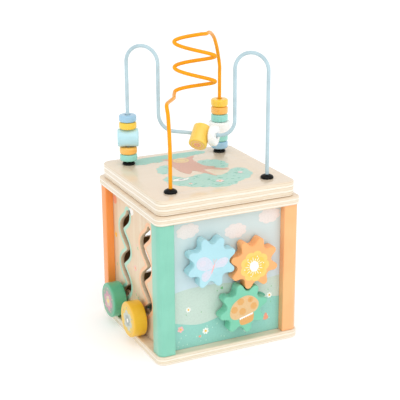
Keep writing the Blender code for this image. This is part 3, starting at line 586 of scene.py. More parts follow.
def flat_shape(name, loops, thick, world, edge_round=0.0, rounding_steps=0, scale=1.0):
    """A flat board or ink layer: closed outlines in local XY, centred on local Z."""
    curve = bpy.data.curves.new(name, "CURVE")
    curve.dimensions = "2D"
    curve.fill_mode = "BOTH"
    curve.extrude = thick / 2 - edge_round
    curve.bevel_depth = edge_round
    curve.bevel_resolution = rounding_steps
    curve.offset = -edge_round
    outer_right = True
    for number, loop in enumerate(loops):
        wants_right = outer_right if number == 0 or edge_round == 0 else not outer_right
        ordered = loop if (signed_area(loop) < 0) == wants_right else loop[::-1]
        spline = curve.splines.new("POLY")
        spline.points.add(len(ordered) - 1)
        for point, (x, y) in zip(spline.points, ordered):
            point.co = (x * scale, y * scale, 0, 1)
        spline.use_cyclic_u = True
    return solid(name, baked(name, curve), world)


def lathe(name, profile, world, steps=64):
    """A turned solid about local Z. The profile runs down the outer side, top to bottom."""
    drawn = bmesh.new()
    closed = profile[0][0] > 0
    ring = [drawn.verts.new((radius, 0, height)) for radius, height in profile]
    edges = [drawn.edges.new(pair) for pair in zip(ring, ring[1:])]
    if closed:
        edges.append(drawn.edges.new((ring[-1], ring[0])))
    bmesh.ops.spin(
        drawn, geom=ring + edges, cent=(0, 0, 0), axis=(0, 0, 1), angle=2 * pi, steps=steps, use_merge=True
    )
    return solid(name, bpy.data.meshes.new(name), world, drawn)


def quarter(centre, radius, start, end, steps=6):
    """Points on an arc of a profile or outline, in degrees."""
    angles = [radians(start + (end - start) * step / steps) for step in range(steps + 1)]
    return [(centre[0] + radius * cos(a), centre[1] + radius * sin(a)) for a in angles]


def turned_side(radius, top, bottom, soft):
    """The outer side of a turned profile, with soft shoulders."""
    shoulder = quarter((radius - soft, top - soft), soft, 90, 0, 8)
    return shoulder + quarter((radius - soft, bottom + soft), soft, 0, -90, 8)


def wire(name, route, radius):
    """A round wire through many points."""
    curve = bpy.data.curves.new(name, "CURVE")
    curve.dimensions = "3D"
    curve.bevel_depth = radius
    curve.bevel_resolution = 6
    curve.use_fill_caps = True
    spline = curve.splines.new("POLY")
    spline.points.add(len(route) - 1)
    for point, place in zip(spline.points, route):
        point.co = (*place, 1)
    return solid(name, baked(name, curve), Matrix(), sharp=50)


def cut(obj, cutter):
    """Takes a cutter out of an object for good, and removes the cutter."""
    boolean = obj.modifiers.new("Cut", "BOOLEAN")
    boolean.object = cutter
    boolean.operation = "DIFFERENCE"
    bpy.context.view_layer.update()
    depsgraph = bpy.context.evaluated_depsgraph_get()
    mesh = bpy.data.meshes.new_from_object(obj.evaluated_get(depsgraph))
    obj.modifiers.clear()
    obj.data = mesh
    mesh.shade_smooth()
    mesh.set_sharp_from_angle(angle=radians(SHARP))
    bpy.data.objects.remove(cutter, do_unlink=True)


def rounded_polygon(corners, radius, steps=8):
    """A convex outline with round corners, anticlockwise."""
    outline = []
    count = len(corners)
    for number in range(count):
        before = Vector(corners[number - 1])
        corner = Vector(corners[number])
        after = Vector(corners[(number + 1) % count])
        to_before = (before - corner).normalized()
        to_after = (after - corner).normalized()
        half_angle = to_before.angle(to_after) / 2
        centre = corner + (to_before + to_after).normalized() * (radius / sin(half_angle))
        reach = radius * cos(half_angle) / sin(half_angle)
        start = corner + to_before * reach - centre
        end = corner + to_after * reach - centre
        first = atan2(start.y, start.x)
        sweep = (atan2(end.y, end.x) - first) % (2 * pi)
        for step in range(steps + 1):
            angle = first + sweep * step / steps
            outline.append((centre.x + radius * cos(angle), centre.y + radius * sin(angle)))
    return outline


def rounded_rectangle(width, height, radius, steps=8):
    x = width / 2
    y = height / 2
    return rounded_polygon([(-x, -y), (x, -y), (x, y), (-x, y)], radius, steps)


def circle(radius, centre=(0, 0), steps=48):
    return quarter(centre, radius, 0, 360, steps)[:-1]


def regular_polygon(sides, radius, first_angle):
    angles = [first_angle + 2 * pi * side / sides for side in range(sides)]
    return [(radius * cos(a), radius * sin(a)) for a in angles]


def moved(loop, x, y, turn=0.0):
    return [(px * cos(turn) - py * sin(turn) + x, px * sin(turn) + py * cos(turn) + y) for px, py in loop]


def ellipse(x, y, half_width, half_height, turn=0.0, steps=32):
    flat = [(half_width * px, half_height * py) for px, py in circle(1, steps=steps)]
    return moved(flat, x, y, turn)


def lobed(x, y, radius, lobes, depth, turn=0.0, squash=1.0, steps=14):
    """A flower, cloud or rosette: round lobes that meet in notches."""
    loop = []
    for step in range(lobes * steps):
        angle = 2 * pi * step / (lobes * steps)
        swell = abs(sin(lobes * angle / 2)) ** 0.7
        reach = radius * (1 - depth + depth * swell)
        loop.append((reach * cos(angle), reach * sin(angle) * squash))
    return moved(loop, x, y, turn)


def facing(x, y, z, outward):
    """A place whose local Z looks out of a wall, local X runs along it and local Y is up."""
    turn = {"-Y": 0, "+X": 90, "+Y": 180, "-X": -90}[outward]
    return (
        Matrix.Translation((x, y, z))
        @ Matrix.Rotation(radians(turn), 4, "Z")
        @ Matrix.Rotation(radians(90), 4, "X")
    )


def upright(x, y, z):
    return Matrix.Translation((x, y, z))


def box(node):
    """A CAD node's lowest and highest corner and its centre."""
    low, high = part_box(node)
    return low, high, (low + high) / 2


def ink(name, loops, wall, layer, colour, body, scale=MM):
    """One printed layer on a wall; later layers lie on earlier ones."""
    lift = INK * (layer + 0.5)
    print_on = flat_shape(name, loops, INK * 0.96, wall @ Matrix.Translation((0, 0, lift)), scale=scale)
    return dress(print_on, inks[colour], body)


def artwork(wall, body, prints):
    """A picture: each print has a name, a layer, an ink and its outlines in millimetres."""
    for name, layer, colour, loops in prints:
        ink(name, loops, wall, layer, colour, body)


# ---------------------------------------------------------------- boards and posts


def add_boards():
    """The base, the rim and the lid: square plywood boards with round corners and holes."""
    square = rounded_rectangle(BOARD_SIDE, BOARD_SIDE, PLATE_CORNER, 12)
    screw_holes = [circle(SCREW_HOLE, at, 24) for at in screw_places()]
    add_board("base_board", "base_plate", "base", "case", [square] + screw_holes, BOARD_EDGE, 3)
    opening = rounded_rectangle(RIM_OPENING, RIM_OPENING, PLATE_CORNER, 12)
    add_board("rim_board", "rim_frame", "rim", "case", [square, opening], BOARD_EDGE, 3)
    side = LID_HIGH.x - LID_LOW.x
    corners = [(sx * WIRE_CORNER, sy * WIRE_CORNER) for sx in (-1, 1) for sy in (-1, 1)]
    lid = [rounded_rectangle(side, side, LID_CORNER, 12)]
    lid += [circle(SOCKET_RADIUS, at, 24) for at in corners]
    add_board("lid_top_board", "lid_board", "lid", "lid", lid, LID_EDGE, 4)
    repaint("lid_locator", "locator")


def add_board(name, node, material, body, loops, edge_round, rounding_steps):
    low, high, middle = box(node)
    world = upright(0, 0, middle.z)
    board = flat_shape(name, loops, high.z - low.z, world, edge_round, rounding_steps)
    dress(board, materials[material], body, [node])


def screw_places():
    centres = [box(f"base_screw_{number}")[2] for number in range(1, 5)]
    return [(centre.x, centre.y) for centre in centres]


def repaint(node, material):
    """Gives a CAD node that keeps its shape one of the finished materials."""
    data = frame["nodes"][node].data
    data.materials.clear()
    data.materials.append(materials[material])


def add_posts():
    """Painted corner posts, with a large round on the outer edge and small ones elsewhere."""
    looks = {
        "front_left_post": ("post_mint", "mint_paint"),
        "front_right_post": ("post_peach", "peach_paint"),
        # The back-left post gets the shaded copy of the front-right post's paint, as painted shade.
        "back_left_post": ("post_orange", "orange_paint"),
        "back_right_post": ("post_mint", "mint_paint"),
    }
    for node, (colour, slot) in looks.items():
        low, high, middle = box(node)
        half = (high.x - low.x) / 2
        inner = half - POST_EASE
        outline = quarter((-half + POST_CORNER, -half + POST_CORNER), POST_CORNER, 180, 270, 14)
        outline += quarter((inner, -inner), POST_EASE, -90, 0, 4)
        outline += post_groove(half)
        outline += quarter((inner, inner), POST_EASE, 0, 90, 4)
        outline += [(y, x) for x, y in post_groove(half)[::-1]]
        outline += quarter((-inner, inner), POST_EASE, 90, 180, 4)
        sign_x = 1 if middle.x < 0 else -1
        sign_y = 1 if middle.y < 0 else -1
        loop = [(x * sign_x, y * sign_y) for x, y in outline]
        post = flat_shape(node + "_painted", [loop], high.z - low.z, upright(*middle), POST_END_EASE, 1)
        dress(post, materials[colour], "case", [node])


def post_groove(half):
    """The panel's groove in a post's inner face, from the outer side inwards."""
    face = PANEL_FACE - POST_IN
    start = half - face - GROOVE_SLACK
    end = half - (PANEL_BACK - POST_IN) + GROOVE_SLACK
    floor = half - GROOVE_DEPTH
    return [(half, start), (floor, start), (floor, end), (half, end)]


# ---------------------------------------------------------------- bead maze


def catmull_rom(a, b, c, d, steps):
    """Points from b towards c on a smooth curve that comes from a and goes on to d."""
    shares = [step / steps for step in range(steps)]
    return [
        b
        + (c - a) * (t / 2)
        + (2 * a - 5 * b + 4 * c - d) * (t * t / 2)
        + (3 * b - a - 3 * c + d) * (t * t * t / 2)
        for t in shares
    ]


def smooth_route(points, steps):
    """A smooth curve through points, without its last point."""
    ends = [2 * points[0] - points[1]] + points + [2 * points[-1] - points[-2]]
    route = []
    for stretch in zip(ends, ends[1:], ends[2:], ends[3:]):
        route += catmull_rom(*stretch, steps)
    return route


def coil_point(angle):
    along = COIL_HALF_LENGTH * cos(angle)
    across = COIL_HALF_WIDTH * sin(angle)
    return Vector(
        (
            COIL_CENTRE[0] + along * cos(COIL_TURN) - across * sin(COIL_TURN),
            COIL_CENTRE[1] + along * sin(COIL_TURN) + across * cos(COIL_TURN),
            COIL_LOW_HEIGHT + COIL_PITCH * (COIL_LOW_ANGLE - angle) / (2 * pi),
        )
    )


def orange_route():
    """From the front left foot up, in to the coil, round it and over to the back right foot."""
    foot = WIRE_CORNER
    bend_in = [Vector((-foot, -foot, ORANGE_RISE_END))]
    bend_in += [Vector(point) for point in ORANGE_WAY_IN]
    bend_in.append(coil_point(COIL_LOW_ANGLE))
    spread = (COIL_LOW_ANGLE - COIL_HIGH_ANGLE) / COIL_STEPS
    coil = [coil_point(COIL_LOW_ANGLE - spread * step) for step in range(COIL_STEPS + 1)]
    bend_out = [coil[-1]]
    bend_out += [Vector(point) for point in ORANGE_WAY_OUT]
    bend_out += [Vector((foot, foot, height)) for height in ORANGE_FALL]
    start = Vector((-foot, -foot, WIRE_FOOT))
    end = Vector((foot, foot, WIRE_FOOT))
    return [start] + smooth_route(bend_in, 10) + coil + smooth_route(bend_out, 10)[1:] + [end]


def blue_route():
    outer = WIRE_CORNER * sqrt(2)
    inner = outer - 2 * HUMP_RADIUS
    half = [(outer, WIRE_FOOT)]
    half += quarter((outer - HUMP_RADIUS, HUMP_SPRING), HUMP_RADIUS, 0, 180, 48)
    half += quarter((inner - VALLEY_RADIUS, VALLEY_HEIGHT + VALLEY_RADIUS), VALLEY_RADIUS, 0, -90, 24)
    flat = half + [(-along, height) for along, height in half[::-1]]
    return [Vector((along / sqrt(2), -along / sqrt(2), height)) for along, height in flat]


def add_maze():
    for name, route, slot in [
        ("orange_wire", orange_route(), "orange_wire_coat"),
        ("blue_wire", blue_route(), "blue_wire_coat"),
    ]:
        bent = wire(name + "_coated", route, WIRE_RADIUS)
        dress(bent, materials[name], "lid", [name])
    height = CAP_HIGH.z - CAP_LOW.z
    radius = (CAP_HIGH.x - CAP_LOW.x) / 2
    dome = [(SOCKET_RADIUS, height)]
    dome += [
        (radius * sin(radians(a)), height * (0.18 + 0.82 * cos(radians(a)))) for a in range(28, 91, 6)
    ]
    dome += [(radius, 0.0003), (radius - 0.0003, 0), (SOCKET_RADIUS, 0)]
    for corner in ("front_left", "back_left", "back_right", "front_right"):
        node = f"{corner}_wire_cap"
        low, _high, centre = box(node)
        cap = lathe(node + "_domed", dome, upright(centre.x, centre.y, low.z))
        dress(cap, materials["black"], "lid", [node])


def bead_profile(radius, thick):
    """A turned disc bead: flat ends, full soft shoulders and an eased bore."""
    half = thick / 2
    soft = min(half * 0.55, 0.0025)
    top = [(BEAD_BORE, half - BEAD_EASE), (BEAD_BORE + BEAD_EASE, half)]
    return top + turned_side(radius, half, -half, soft) + [(x, -z) for x, z in top[::-1]]


def add_beads():
    stacked = {
        "blue_bead_low": ("light_blue", "blue_paint"),
        "mint_bead_low": ("mint", "mint_paint"),
        "white_bead_big": ("white", "white_paint"),
        "mint_bead_high": ("mint", "mint_paint"),
        "orange_bead_high": ("orange", "peach_paint"),
        "yellow_bead_high": ("yellow", "yellow_paint"),
        "mint_bead_side": ("mint", "mint_paint"),
        "orange_bead_side": ("orange", "peach_paint"),
        "yellow_bead_side": ("yellow", "yellow_paint"),
        "blue_bead_side": ("light_blue", "blue_paint"),
    }
    for node, (colour, slot) in stacked.items():
        low, high, centre = box(node)
        profile = bead_profile((high.x - low.x) / 2, high.z - low.z)
        bead = lathe(node + "_turned", profile, upright(centre.x, centre.y, centre.z))
        dress(bead, materials["bead_" + colour], node, [node])
    low, high, centre = box("white_ring_bead")
    radius = (high.z - low.z) / 2
    world = upright(*centre) @ ALONG_BLUE_WIRE
    ring = lathe("white_ring_bead_turned", bead_profile(radius, RING_BEAD_THICK), world)
    dress(ring, materials["bead_white"], "white_ring_bead", ["white_ring_bead"])


def barrel(name, world, across, bore_at):
    """A turned barrel whose bore crosses it."""
    half = BARREL_LENGTH / 2
    profile = [(0, half)] + turned_side(BARREL_RADIUS, half, -half, BARREL_EDGE) + [(0, -half)]
    made = lathe(name, profile, world)
    bore = lathe(
        name + "_bore",
        [(0, BARREL_LENGTH), (BEAD_BORE, BARREL_LENGTH), (BEAD_BORE, -BARREL_LENGTH), (0, -BARREL_LENGTH)],
        world @ Matrix.Translation((0, 0, bore_at)) @ across,
        40,
    )
    cut(made, bore)
    return made


def add_barrels():
    centre = box("aqua_barrel_bead")[2]
    lying = Matrix.Rotation(STACK_BARREL_TURN, 4, "Z") @ Matrix.Rotation(radians(90), 4, "Y")
    world = upright(*centre) @ lying
    aqua = barrel("aqua_barrel_bead_turned", world, Matrix.Rotation(radians(90), 4, "Y"), 0.0)
    dress(aqua, materials["bead_aqua"], "aqua_barrel_bead", ["aqua_barrel_bead"])
    rosette(world, "aqua_barrel_bead", "sky", "white", "mint")
    centre = box("yellow_barrel_bead")[2]
    dipped = Matrix.Rotation(pi, 4, "Z") @ Matrix.Rotation(VALLEY_BARREL_DIP, 4, "Z")
    world = upright(*centre) @ ALONG_BLUE_WIRE @ dipped @ Matrix.Rotation(radians(90), 4, "X")
    across = Matrix.Rotation(radians(90), 4, "X")
    yellow = barrel("yellow_barrel_bead_turned", world, across, BARREL_OFF_CENTRE)
    dress(yellow, materials["bead_barrel"], "yellow_barrel_bead", ["yellow_barrel_bead"])
    rosette(world, "yellow_barrel_bead", "peach", "coral", "butter")


def rosette(world, body, outer, petals, middle):
    """The printed flower on both ends of a barrel bead."""
    for end, flip in (("near", pi), ("far", 0.0)):
        face = world @ Matrix.Rotation(flip, 4, "X") @ Matrix.Translation((0, 0, BARREL_LENGTH / 2))
        prints = [
            (f"{body}_{end}_ring", 0, outer, [circle(8.6), circle(7.4)]),
            (f"{body}_{end}_petals", 0, outer, [lobed(0, 0, 5.6, 7, 0.35)]),
            (f"{body}_{end}_inner", 1, petals, [lobed(0, 0, 3.4, 5, 0.3)]),
            (f"{body}_{end}_middle", 2, middle, [circle(1.3, steps=20)]),
        ]
        artwork(face, body, prints)


# ---------------------------------------------------------------- gears


def gear_outline(first_tooth, steps_per_tooth=28):
    outline = []
    count = GEAR_TEETH * steps_per_tooth
    for step in range(count):
        angle = 2 * pi * step / count
        wave = cos(GEAR_TEETH * (angle - first_tooth))
        shaped = tanh(GEAR_TOOTH_SHARPNESS * (wave - GEAR_TOOTH_THINNING))
        radius = GEAR_MEAN_RADIUS + GEAR_TOOTH_HALF_DEPTH * shaped / tanh(GEAR_TOOTH_SHARPNESS)
        outline.append((radius * cos(angle), radius * sin(angle)))
    return outline


def add_gears():
    """The three gears, each with a picture on its face."""
    meshed_gap = pi - MAIN_GEAR_TOOTH + pi / GEAR_TEETH
    tooth = {
        "orange": MAIN_GEAR_TOOTH,
        "blue": 2 * UPPER_GEAR_DIRECTION + meshed_gap + UPPER_GEAR_BACKLASH,
        "green": 2 * LOWER_GEAR_DIRECTION + meshed_gap,
    }
    pictures = {"orange": draw_bloom, "blue": draw_butterfly, "green": draw_mushroom}
    for name, first_tooth in tooth.items():
        node = name + "_gear"
        low, high, centre = box(node)
        x, _y, z = joints[node + "_spin"]["pos_m"]
        thick = high.y - low.y
        middle = facing(x, centre.y, z, "-Y")
        gear = flat_shape(node + "_milled", [gear_outline(first_tooth)], thick, middle, GEAR_EDGE, 4)
        dress(gear, materials["gear_" + name], node, [node])
        pictures[name](facing(x, low.y, z, "-Y"), node)


def draw_bloom(face, body):
    rays = []
    for number in range(18):
        turn = 2 * pi * number / 18
        length = 5.4 if number % 2 else 3.2
        reach = 7.4 + length / 2
        rays.append(ellipse(-1 + reach * cos(turn), -3 + reach * sin(turn), length / 2, 0.42, turn, 12))
        if number % 3 == 0:
            rays.append(circle(0.8, (-1 + 13.6 * cos(turn + 0.2), -3 + 13.6 * sin(turn + 0.2)), 12))
    prints = [
        ("bloom_petals", 0, "petal", [lobed(0, -3, 20.5, 9, 0.13, 0.3)]),
        ("bloom_glow", 1, "petal_glow", [lobed(0, -3, 15.0, 9, 0.1, 0.3)]),
        ("bloom_rays", 2, "white", rays),
        ("bloom_heart", 2, "white", [lobed(-1, -3, 6.6, 7, 0.1, 0.2, 1.15)]),
    ]
    artwork(face, body, prints)


def draw_butterfly(face, body):
    wings = [
        [(2, -4), (-2, 4), (-9, 9.5), (-17, 9), (-21.5, 3), (-19, -5), (-9, -9), (0, -8)],
        [(1, -8), (-8, -9), (-14, -13), (-14, -20), (-9, -23), (-3, -18)],
        [(3, -3), (8, 3), (17, 5), (22, 2), (20, -4), (12, -8.5), (2, -7)],
        [(1, -8), (9, -8.5), (13, -12), (11, -17), (5, -17.5), (0, -13)],
    ]
    hearts = [(-13, 1.5, 4.6, 4, 0.3), (-9.5, -15, 2.4, 3.6, -0.3), (14.5, -1, 4.2, 2.6, 0.2)]
    feelers = [ellipse(4.6, 2.4, 0.35, 3.0, radians(-38), 12), ellipse(2.0, 2.8, 0.35, 3.0, radians(4), 12)]
    prints = [
        ("butterfly_wings", 0, "mist", [smooth_loop(wing) for wing in wings]),
        ("butterfly_hearts", 1, "haze", [ellipse(*heart) for heart in hearts]),
        ("butterfly_body", 1, "pink", [ellipse(1.2, -7, 0.9, 7.2, radians(-20))]),
        ("butterfly_feelers", 1, "pink", feelers),
    ]
    artwork(face, body, prints)


def draw_mushroom(face, body):
    stem = [(-6.5, -11), (3, -7.5), (12.5, -6), (13.5, -15), (10.5, -19.5), (0, -21.8), (-5.5, -20)]
    cap = [(-20, 0), (-17, 8), (-9, 14.5), (2, 18), (12, 15.5), (20.2, 7), (19.5, -1.5), (13, -6.5)]
    cap += [(0, -9.5), (-8, -12.6), (-16, -11.5), (-20, -6)]
    spots = [(-5.2, 11, 4.8), (8.6, 11.6, 3.8), (-14, 1.2, 4.7), (-2.4, -2.8, 4.8), (13.4, 2.2, 4.6)]
    collar = [(-6.8, -11.6), (12.4, -6.6)]
    for step in range(15):
        share = 1 - step / 14
        drop = 3.0 if step % 2 else 1.6
        collar.append((-6.8 + 19.2 * share, -11.6 + 5 * share - drop))
    prints = [
        ("mushroom_stem", 0, "cap_spot", [smooth_loop(stem)]),
        ("mushroom_cap", 1, "cap", [smooth_loop(cap)]),
        ("mushroom_spots", 2, "cap_spot", [lobed(x, y, size, 6, 0.08, 0.3) for x, y, size in spots]),
        ("mushroom_spot_heart", 3, "spot", [circle(1.5, (8.6, 11.6), 14)]),
        ("mushroom_collar", 2, "white", [collar]),
    ]
    artwork(face, body, prints)


def smooth_loop(points, steps=6):
    """A closed smooth outline through a few points."""
    count = len(points)
    loop = []
    for number in range(count):
        stretch = [Vector(points[(number + shift) % count]) for shift in (-1, 0, 1, 2)]
        loop += [(at.x, at.y) for at in catmull_rom(*stretch, steps)]
    return loop


def draw_front_wall():
    """The landscape behind the gears, in millimetres across and up from the base's underside."""
    repaint("gear_panel", "sky")
    edge = POST_IN / MM - 0.1
    low = WALL_LOW / MM + 0.1
    corners = [(edge, low), (-edge, low)]
    hill = [(-edge, 89), (-50, 92.5), (-15, 92), (20, 88), (50, 86), (edge, 88)]
    ground = [(-edge, 50), (-62, 45.5), (-44, 41.5), (-28, 42), (-8, 47), (18, 55), (44, 60)]
    ground += [(62, 60), (edge, 58)]
    clouds = [
        lobed(-54, 169, 16, 8, 0.15, 0.1, 0.62),
        lobed(12, 159, 16, 8, 0.15, 0.0, 0.64),
        lobed(60, 172, 16, 8, 0.15, 0.1, 0.66),
    ]
    daisies = [(-54, 64, 3.6), (-30, 30, 4.6), (62, 62, 4.0), (28, 20, 3.4)]
    tulips = [smooth_loop([(57, 38), (53, 30), (57.5, 28), (61, 31)]), ellipse(-38, 24, 2.0, 1.5)]
    leaf = [(43, 69), (48, 69.5), (54, 66), (56, 62.5), (51, 62), (46, 64.5)]
    draw = random.Random(4)
    flecks = []
    for _number in range(26):
        x = draw.uniform(-70, 70)
        y = draw.uniform(15, 39)
        half_width = draw.uniform(0.3, 0.5)
        half_height = draw.uniform(0.8, 1.4)
        flecks.append(ellipse(x, y, half_width, half_height, draw.uniform(-0.5, 0.5), 8))
    seeds = []
    for _number in range(15):
        x = draw.uniform(-70, 70)
        y = draw.uniform(50, 86)
        seeds.append(ellipse(x, y, 0.5, 1.0, draw.uniform(-0.8, 0.8), 8))
    prints = [
        ("hill", 0, "hill", [smooth_edge(hill) + corners]),
        ("ground", 1, "ground", [smooth_edge(ground) + corners]),
        ("clouds", 1, "cloud", clouds),
        ("daisy_petals", 2, "white", [lobed(x, y, size, 7, 0.4, 0.2) for x, y, size in daisies]),
        ("daisy_hearts", 3, "sun", [circle(size * 0.36, (x, y), 16) for x, y, size in daisies]),
        ("pink_flower", 2, "pink", [lobed(-65, 39, 4.4, 5, 0.35, 0.4)]),
        ("pink_flower_heart", 3, "sun", [circle(1.4, (-65, 39), 16)]),
        ("tulips", 2, "coral", tulips),
        ("leaves", 2, "leaf", [smooth_loop(leaf)]),
        ("clover", 2, "clover", [lobed(-7, 85, 2.0, 3, 0.4), lobed(38, 66, 1.6, 3, 0.4)]),
        ("ground_flecks", 3, "fleck", flecks),
        ("hill_seeds", 3, "clover", seeds),
    ]
    artwork(facing(0, -PANEL_FACE, 0, "-Y"), "case", prints)


def smooth_edge(points, steps=6):
    """An open smooth edge through a few points, both ends kept."""
    route = smooth_route([Vector((x, y)) for x, y in points], steps) + [Vector(points[-1])]
    return [(at.x, at.y) for at in route]


# ---------------------------------------------------------------- slide tracks


def swept_track(centre, radius):
    """The outline of a disc of this radius driven along a track's wave, in wall metres."""
    length = TRACK_HALF_WAVES * TRACK_HALF_WAVE
    fine = 500
    waves = []
    for step in range(fine + 1):
        height = TRACK_LOW + length * step / fine
        swing = TRACK_SWING * cos(pi * (height - TRACK_LOW) / TRACK_HALF_WAVE)
        waves.append((-(centre + swing), height))
    rows = 150
    left = []
    right = []
    for step in range(1, rows):
        share = (1 - cos(pi * step / rows)) / 2
        level = TRACK_LOW - radius + (length + 2 * radius) * share
        near = [(x, level - height) for x, height in waves if abs(level - height) < radius]
        reach = [(x, sqrt(radius**2 - apart**2)) for x, apart in near]
        left.append((min(x - half for x, half in reach), level))
        right.append((max(x + half for x, half in reach), level))
    return right + left[::-1]


def add_track_wall():
    wall = facing(-PANEL_FACE, 0, 0, "-X")
    half = TRACK_SPACING / 2
    centres = {"track_mint": TRACK_OFF_CENTRE + half, "track_peach": TRACK_OFF_CENTRE - half}
    slots = [swept_track(centre, TRACK_WIDTH / 2) for centre in centres.values()]
    routed_panel("track_panel", wall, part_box("track_panel")[1].y, slots, TRACK_EDGE)
    for colour, centre in centres.items():
        wide = swept_track(centre, TRACK_WIDTH / 2 + TRACK_OUTLINE)
        rim = swept_track(centre, TRACK_WIDTH / 2 + TRACK_OUTLINE_GAP)
        ink(f"{colour}_outline", [wide, rim], wall, 0, colour, "case", scale=1.0)
    dots = [(-5, 60), (4, 128), (2, 58), (70, 96), (67, 60), (-70, 80), (-67, 38), (66, 150), (0, 30)]
    prints = [
        ("track_wall_sun", 0, "coral", [lobed(-69.5, 168, 6.4, 8, 0.18)]),
        ("track_wall_buttercup", 0, "sun", [lobed(-69, 118, 3.8, 5, 0.3)]),
        ("track_wall_flower", 0, "pink", [lobed(-3, 93, 4.2, 5, 0.35)]),
        ("track_wall_flower_heart", 1, "sun", [circle(1.4, (-3, 93), 16)]),
        ("track_wall_cloud", 0, "white", [lobed(-13, 168, 8.5, 7, 0.2, 0.2, 0.6)]),
        ("track_wall_dots", 0, "pink", [circle(1.1, at, 12) for at in dots]),
        ("track_wall_sprigs", 0, "clover", [ellipse(x + 3, y - 4, 0.7, 2.2, 0.5) for x, y in dots[:6]]),
    ]
    artwork(wall, "case", prints)


def routed_panel(node, wall, half_width, holes, edge_round):
    """A wall panel with openings routed through it."""
    corners = [(-half_width, WALL_LOW), (half_width, WALL_LOW)]
    corners += [(half_width, WALL_HIGH), (-half_width, WALL_HIGH)]
    thick = PANEL_FACE - PANEL_BACK
    middle = wall @ Matrix.Translation((0, 0, -thick / 2))
    panel = flat_shape(node + "_routed", [corners] + holes, thick, middle, edge_round, 1)
    dress(panel, materials[node], "case", [node])


def add_knobs():
    for name, slot in (("green", "green_paint"), ("yellow", "yellow_paint")):
        node = name + "_knob"
        low, high, centre = box(node)
        radius = (high.z - low.z) / 2
        thick = high.x - low.x
        profile = [(0, thick)] + turned_side(radius, thick, 0, KNOB_EDGE)
        profile += [(KNOB_BORE_RADIUS, 0), (KNOB_BORE_RADIUS, KNOB_BORE_DEPTH)]
        profile += [(KNOB_CHAMBER_RADIUS, KNOB_BORE_DEPTH), (KNOB_CHAMBER_RADIUS, KNOB_CHAMBER_DEPTH)]
        profile += [(0, KNOB_CHAMBER_DEPTH)]
        world = facing(high.x, centre.y, centre.z, "-X")
        knob = lathe(node + "_turned", profile, world, 96)
        colour = "green" if name == "green" else "knob_yellow"
        dress(knob, materials[colour], node, [node])
        face = facing(low.x, centre.y, centre.z, "-X")
        if name == "green":
            draw_knob(face, node, "knob_grey", "knob_rose", "knob_cream", "butter")
        else:
            draw_knob(face, node, "knob_straw", "knob_mist", "knob_slate", "white")
        for piece in ("pin", "retainer"):
            repaint(f"{name}_slider_{piece}", "turned_birch")


def draw_knob(face, body, ground, petals, inner, heart):
    """A flower on a round ground, printed on a knob's face."""
    specks = [circle(1.1, (16 * cos(a), 16 * sin(a)), 12) for a in (0.4, 1.7, 2.6, 3.9, 5.2)]
    prints = [
        (body + "_ground", 0, ground, [circle(18.5)]),
        (body + "_petals", 1, petals, [lobed(0.5, -1, 14, 6, 0.3, 0.3)]),
        (body + "_inner", 2, inner, [lobed(0.5, -1, 8.0, 6, 0.3, 0.8)]),
        (body + "_heart", 3, heart, [circle(2.8, (0.5, -1), 20)]),
        (body + "_specks", 1, inner, specks),
    ]
    artwork(face, body, prints)


# ---------------------------------------------------------------- shape sorter


def sorter_shapes():
    """Each shape's corners, or none for a circle, its place on the wall, paint and slot."""
    half = BLOCK_SIDE / 2
    square = [(-half, -half), (half, -half), (half, half), (-half, half)]
    triangle = regular_polygon(3, TRIANGLE_RADIUS, pi / 2)
    hexagon = regular_polygon(6, HEXAGON_RADIUS, 0)
    return {
        "square": (square, (HOLE_COLUMN, UPPER_HOLE_ROW), "mint", "mint_paint"),
        "round": (None, (-HOLE_COLUMN, UPPER_HOLE_ROW), "peach", "peach_paint"),
        "triangle": (triangle, (HOLE_COLUMN, LOWER_HOLE_ROW), "yellow", "yellow_paint"),
        "hexagon": (hexagon, (-HOLE_COLUMN, LOWER_HOLE_ROW), "light_blue", "blue_paint"),
    }


def block_loop(corners, extra):
    """A block's outline, grown all round by some extra."""
    if corners is None:
        return circle(ROUND_RADIUS + extra, steps=64)
    middle = sum((Vector(c) for c in corners), Vector((0, 0))) / len(corners)
    inner = ((Vector(corners[0]) + Vector(corners[1])) / 2 - middle).length
    factor = (inner + extra) / inner
    grown = [tuple(middle + (Vector(c) - middle) * factor) for c in corners]
    return rounded_polygon(grown, BLOCK_CORNER + extra * 0.5, 8)


def add_sorter_wall():
    wall = facing(0, PANEL_FACE, 0, "+Y")
    holes = []
    for corners, at, _colour, _slot in sorter_shapes().values():
        holes.append(moved(block_loop(corners, BLOCK_SLACK), *at))
    routed_panel("sorter_panel", wall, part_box("sorter_panel")[1].x, holes, HOLE_EDGE)
    outlines = {"square": "mint", "round": "peach", "triangle": "butter", "hexagon": "sky"}
    for name, (corners, at, _colour, _slot) in sorter_shapes().items():
        wide = moved(block_loop(corners, HOLE_OUTLINE), *at)
        rim = moved(block_loop(corners, BLOCK_SLACK + HOLE_OUTLINE_GAP), *at)
        ink(f"{name}_hole_outline", [wide, rim], wall, 0, outlines[name], "case", scale=1.0)
    sky = [(-52, 168, 13, 0.2), (2, 163, 11, 0.4), (54, 170, 13, 0)]
    clouds = [lobed(x, y, size, 8, 0.17, turn, 0.55) for x, y, size, turn in sky]
    low = WALL_LOW / MM + 0.1
    grass = smooth_edge([(-76, 26), (-50, 30), (-20, 27), (12, 31), (45, 27), (76, 30)])
    blooms = [(-62, 24), (-8, 22), (30, 25), (66, 22)]
    sprigs = [(0, 62), (2, 70), (-3, 92), (3, 124), (-1, 132), (70, 96), (-70, 94)]
    prints = [
        ("sorter_clouds", 0, "white", clouds),
        ("sorter_grass", 0, "ground", [grass + [(76, low), (-76, low)]]),
        ("sorter_daisies", 1, "white", [lobed(x, y, 4.2, 7, 0.38) for x, y in blooms]),
        ("sorter_daisy_hearts", 2, "sun", [circle(1.5, at, 16) for at in blooms]),
        ("sorter_sprigs", 0, "clover", [ellipse(x, y, 0.8, 2.4, 0.4) for x, y in sprigs]),
    ]
    artwork(wall, "case", prints)


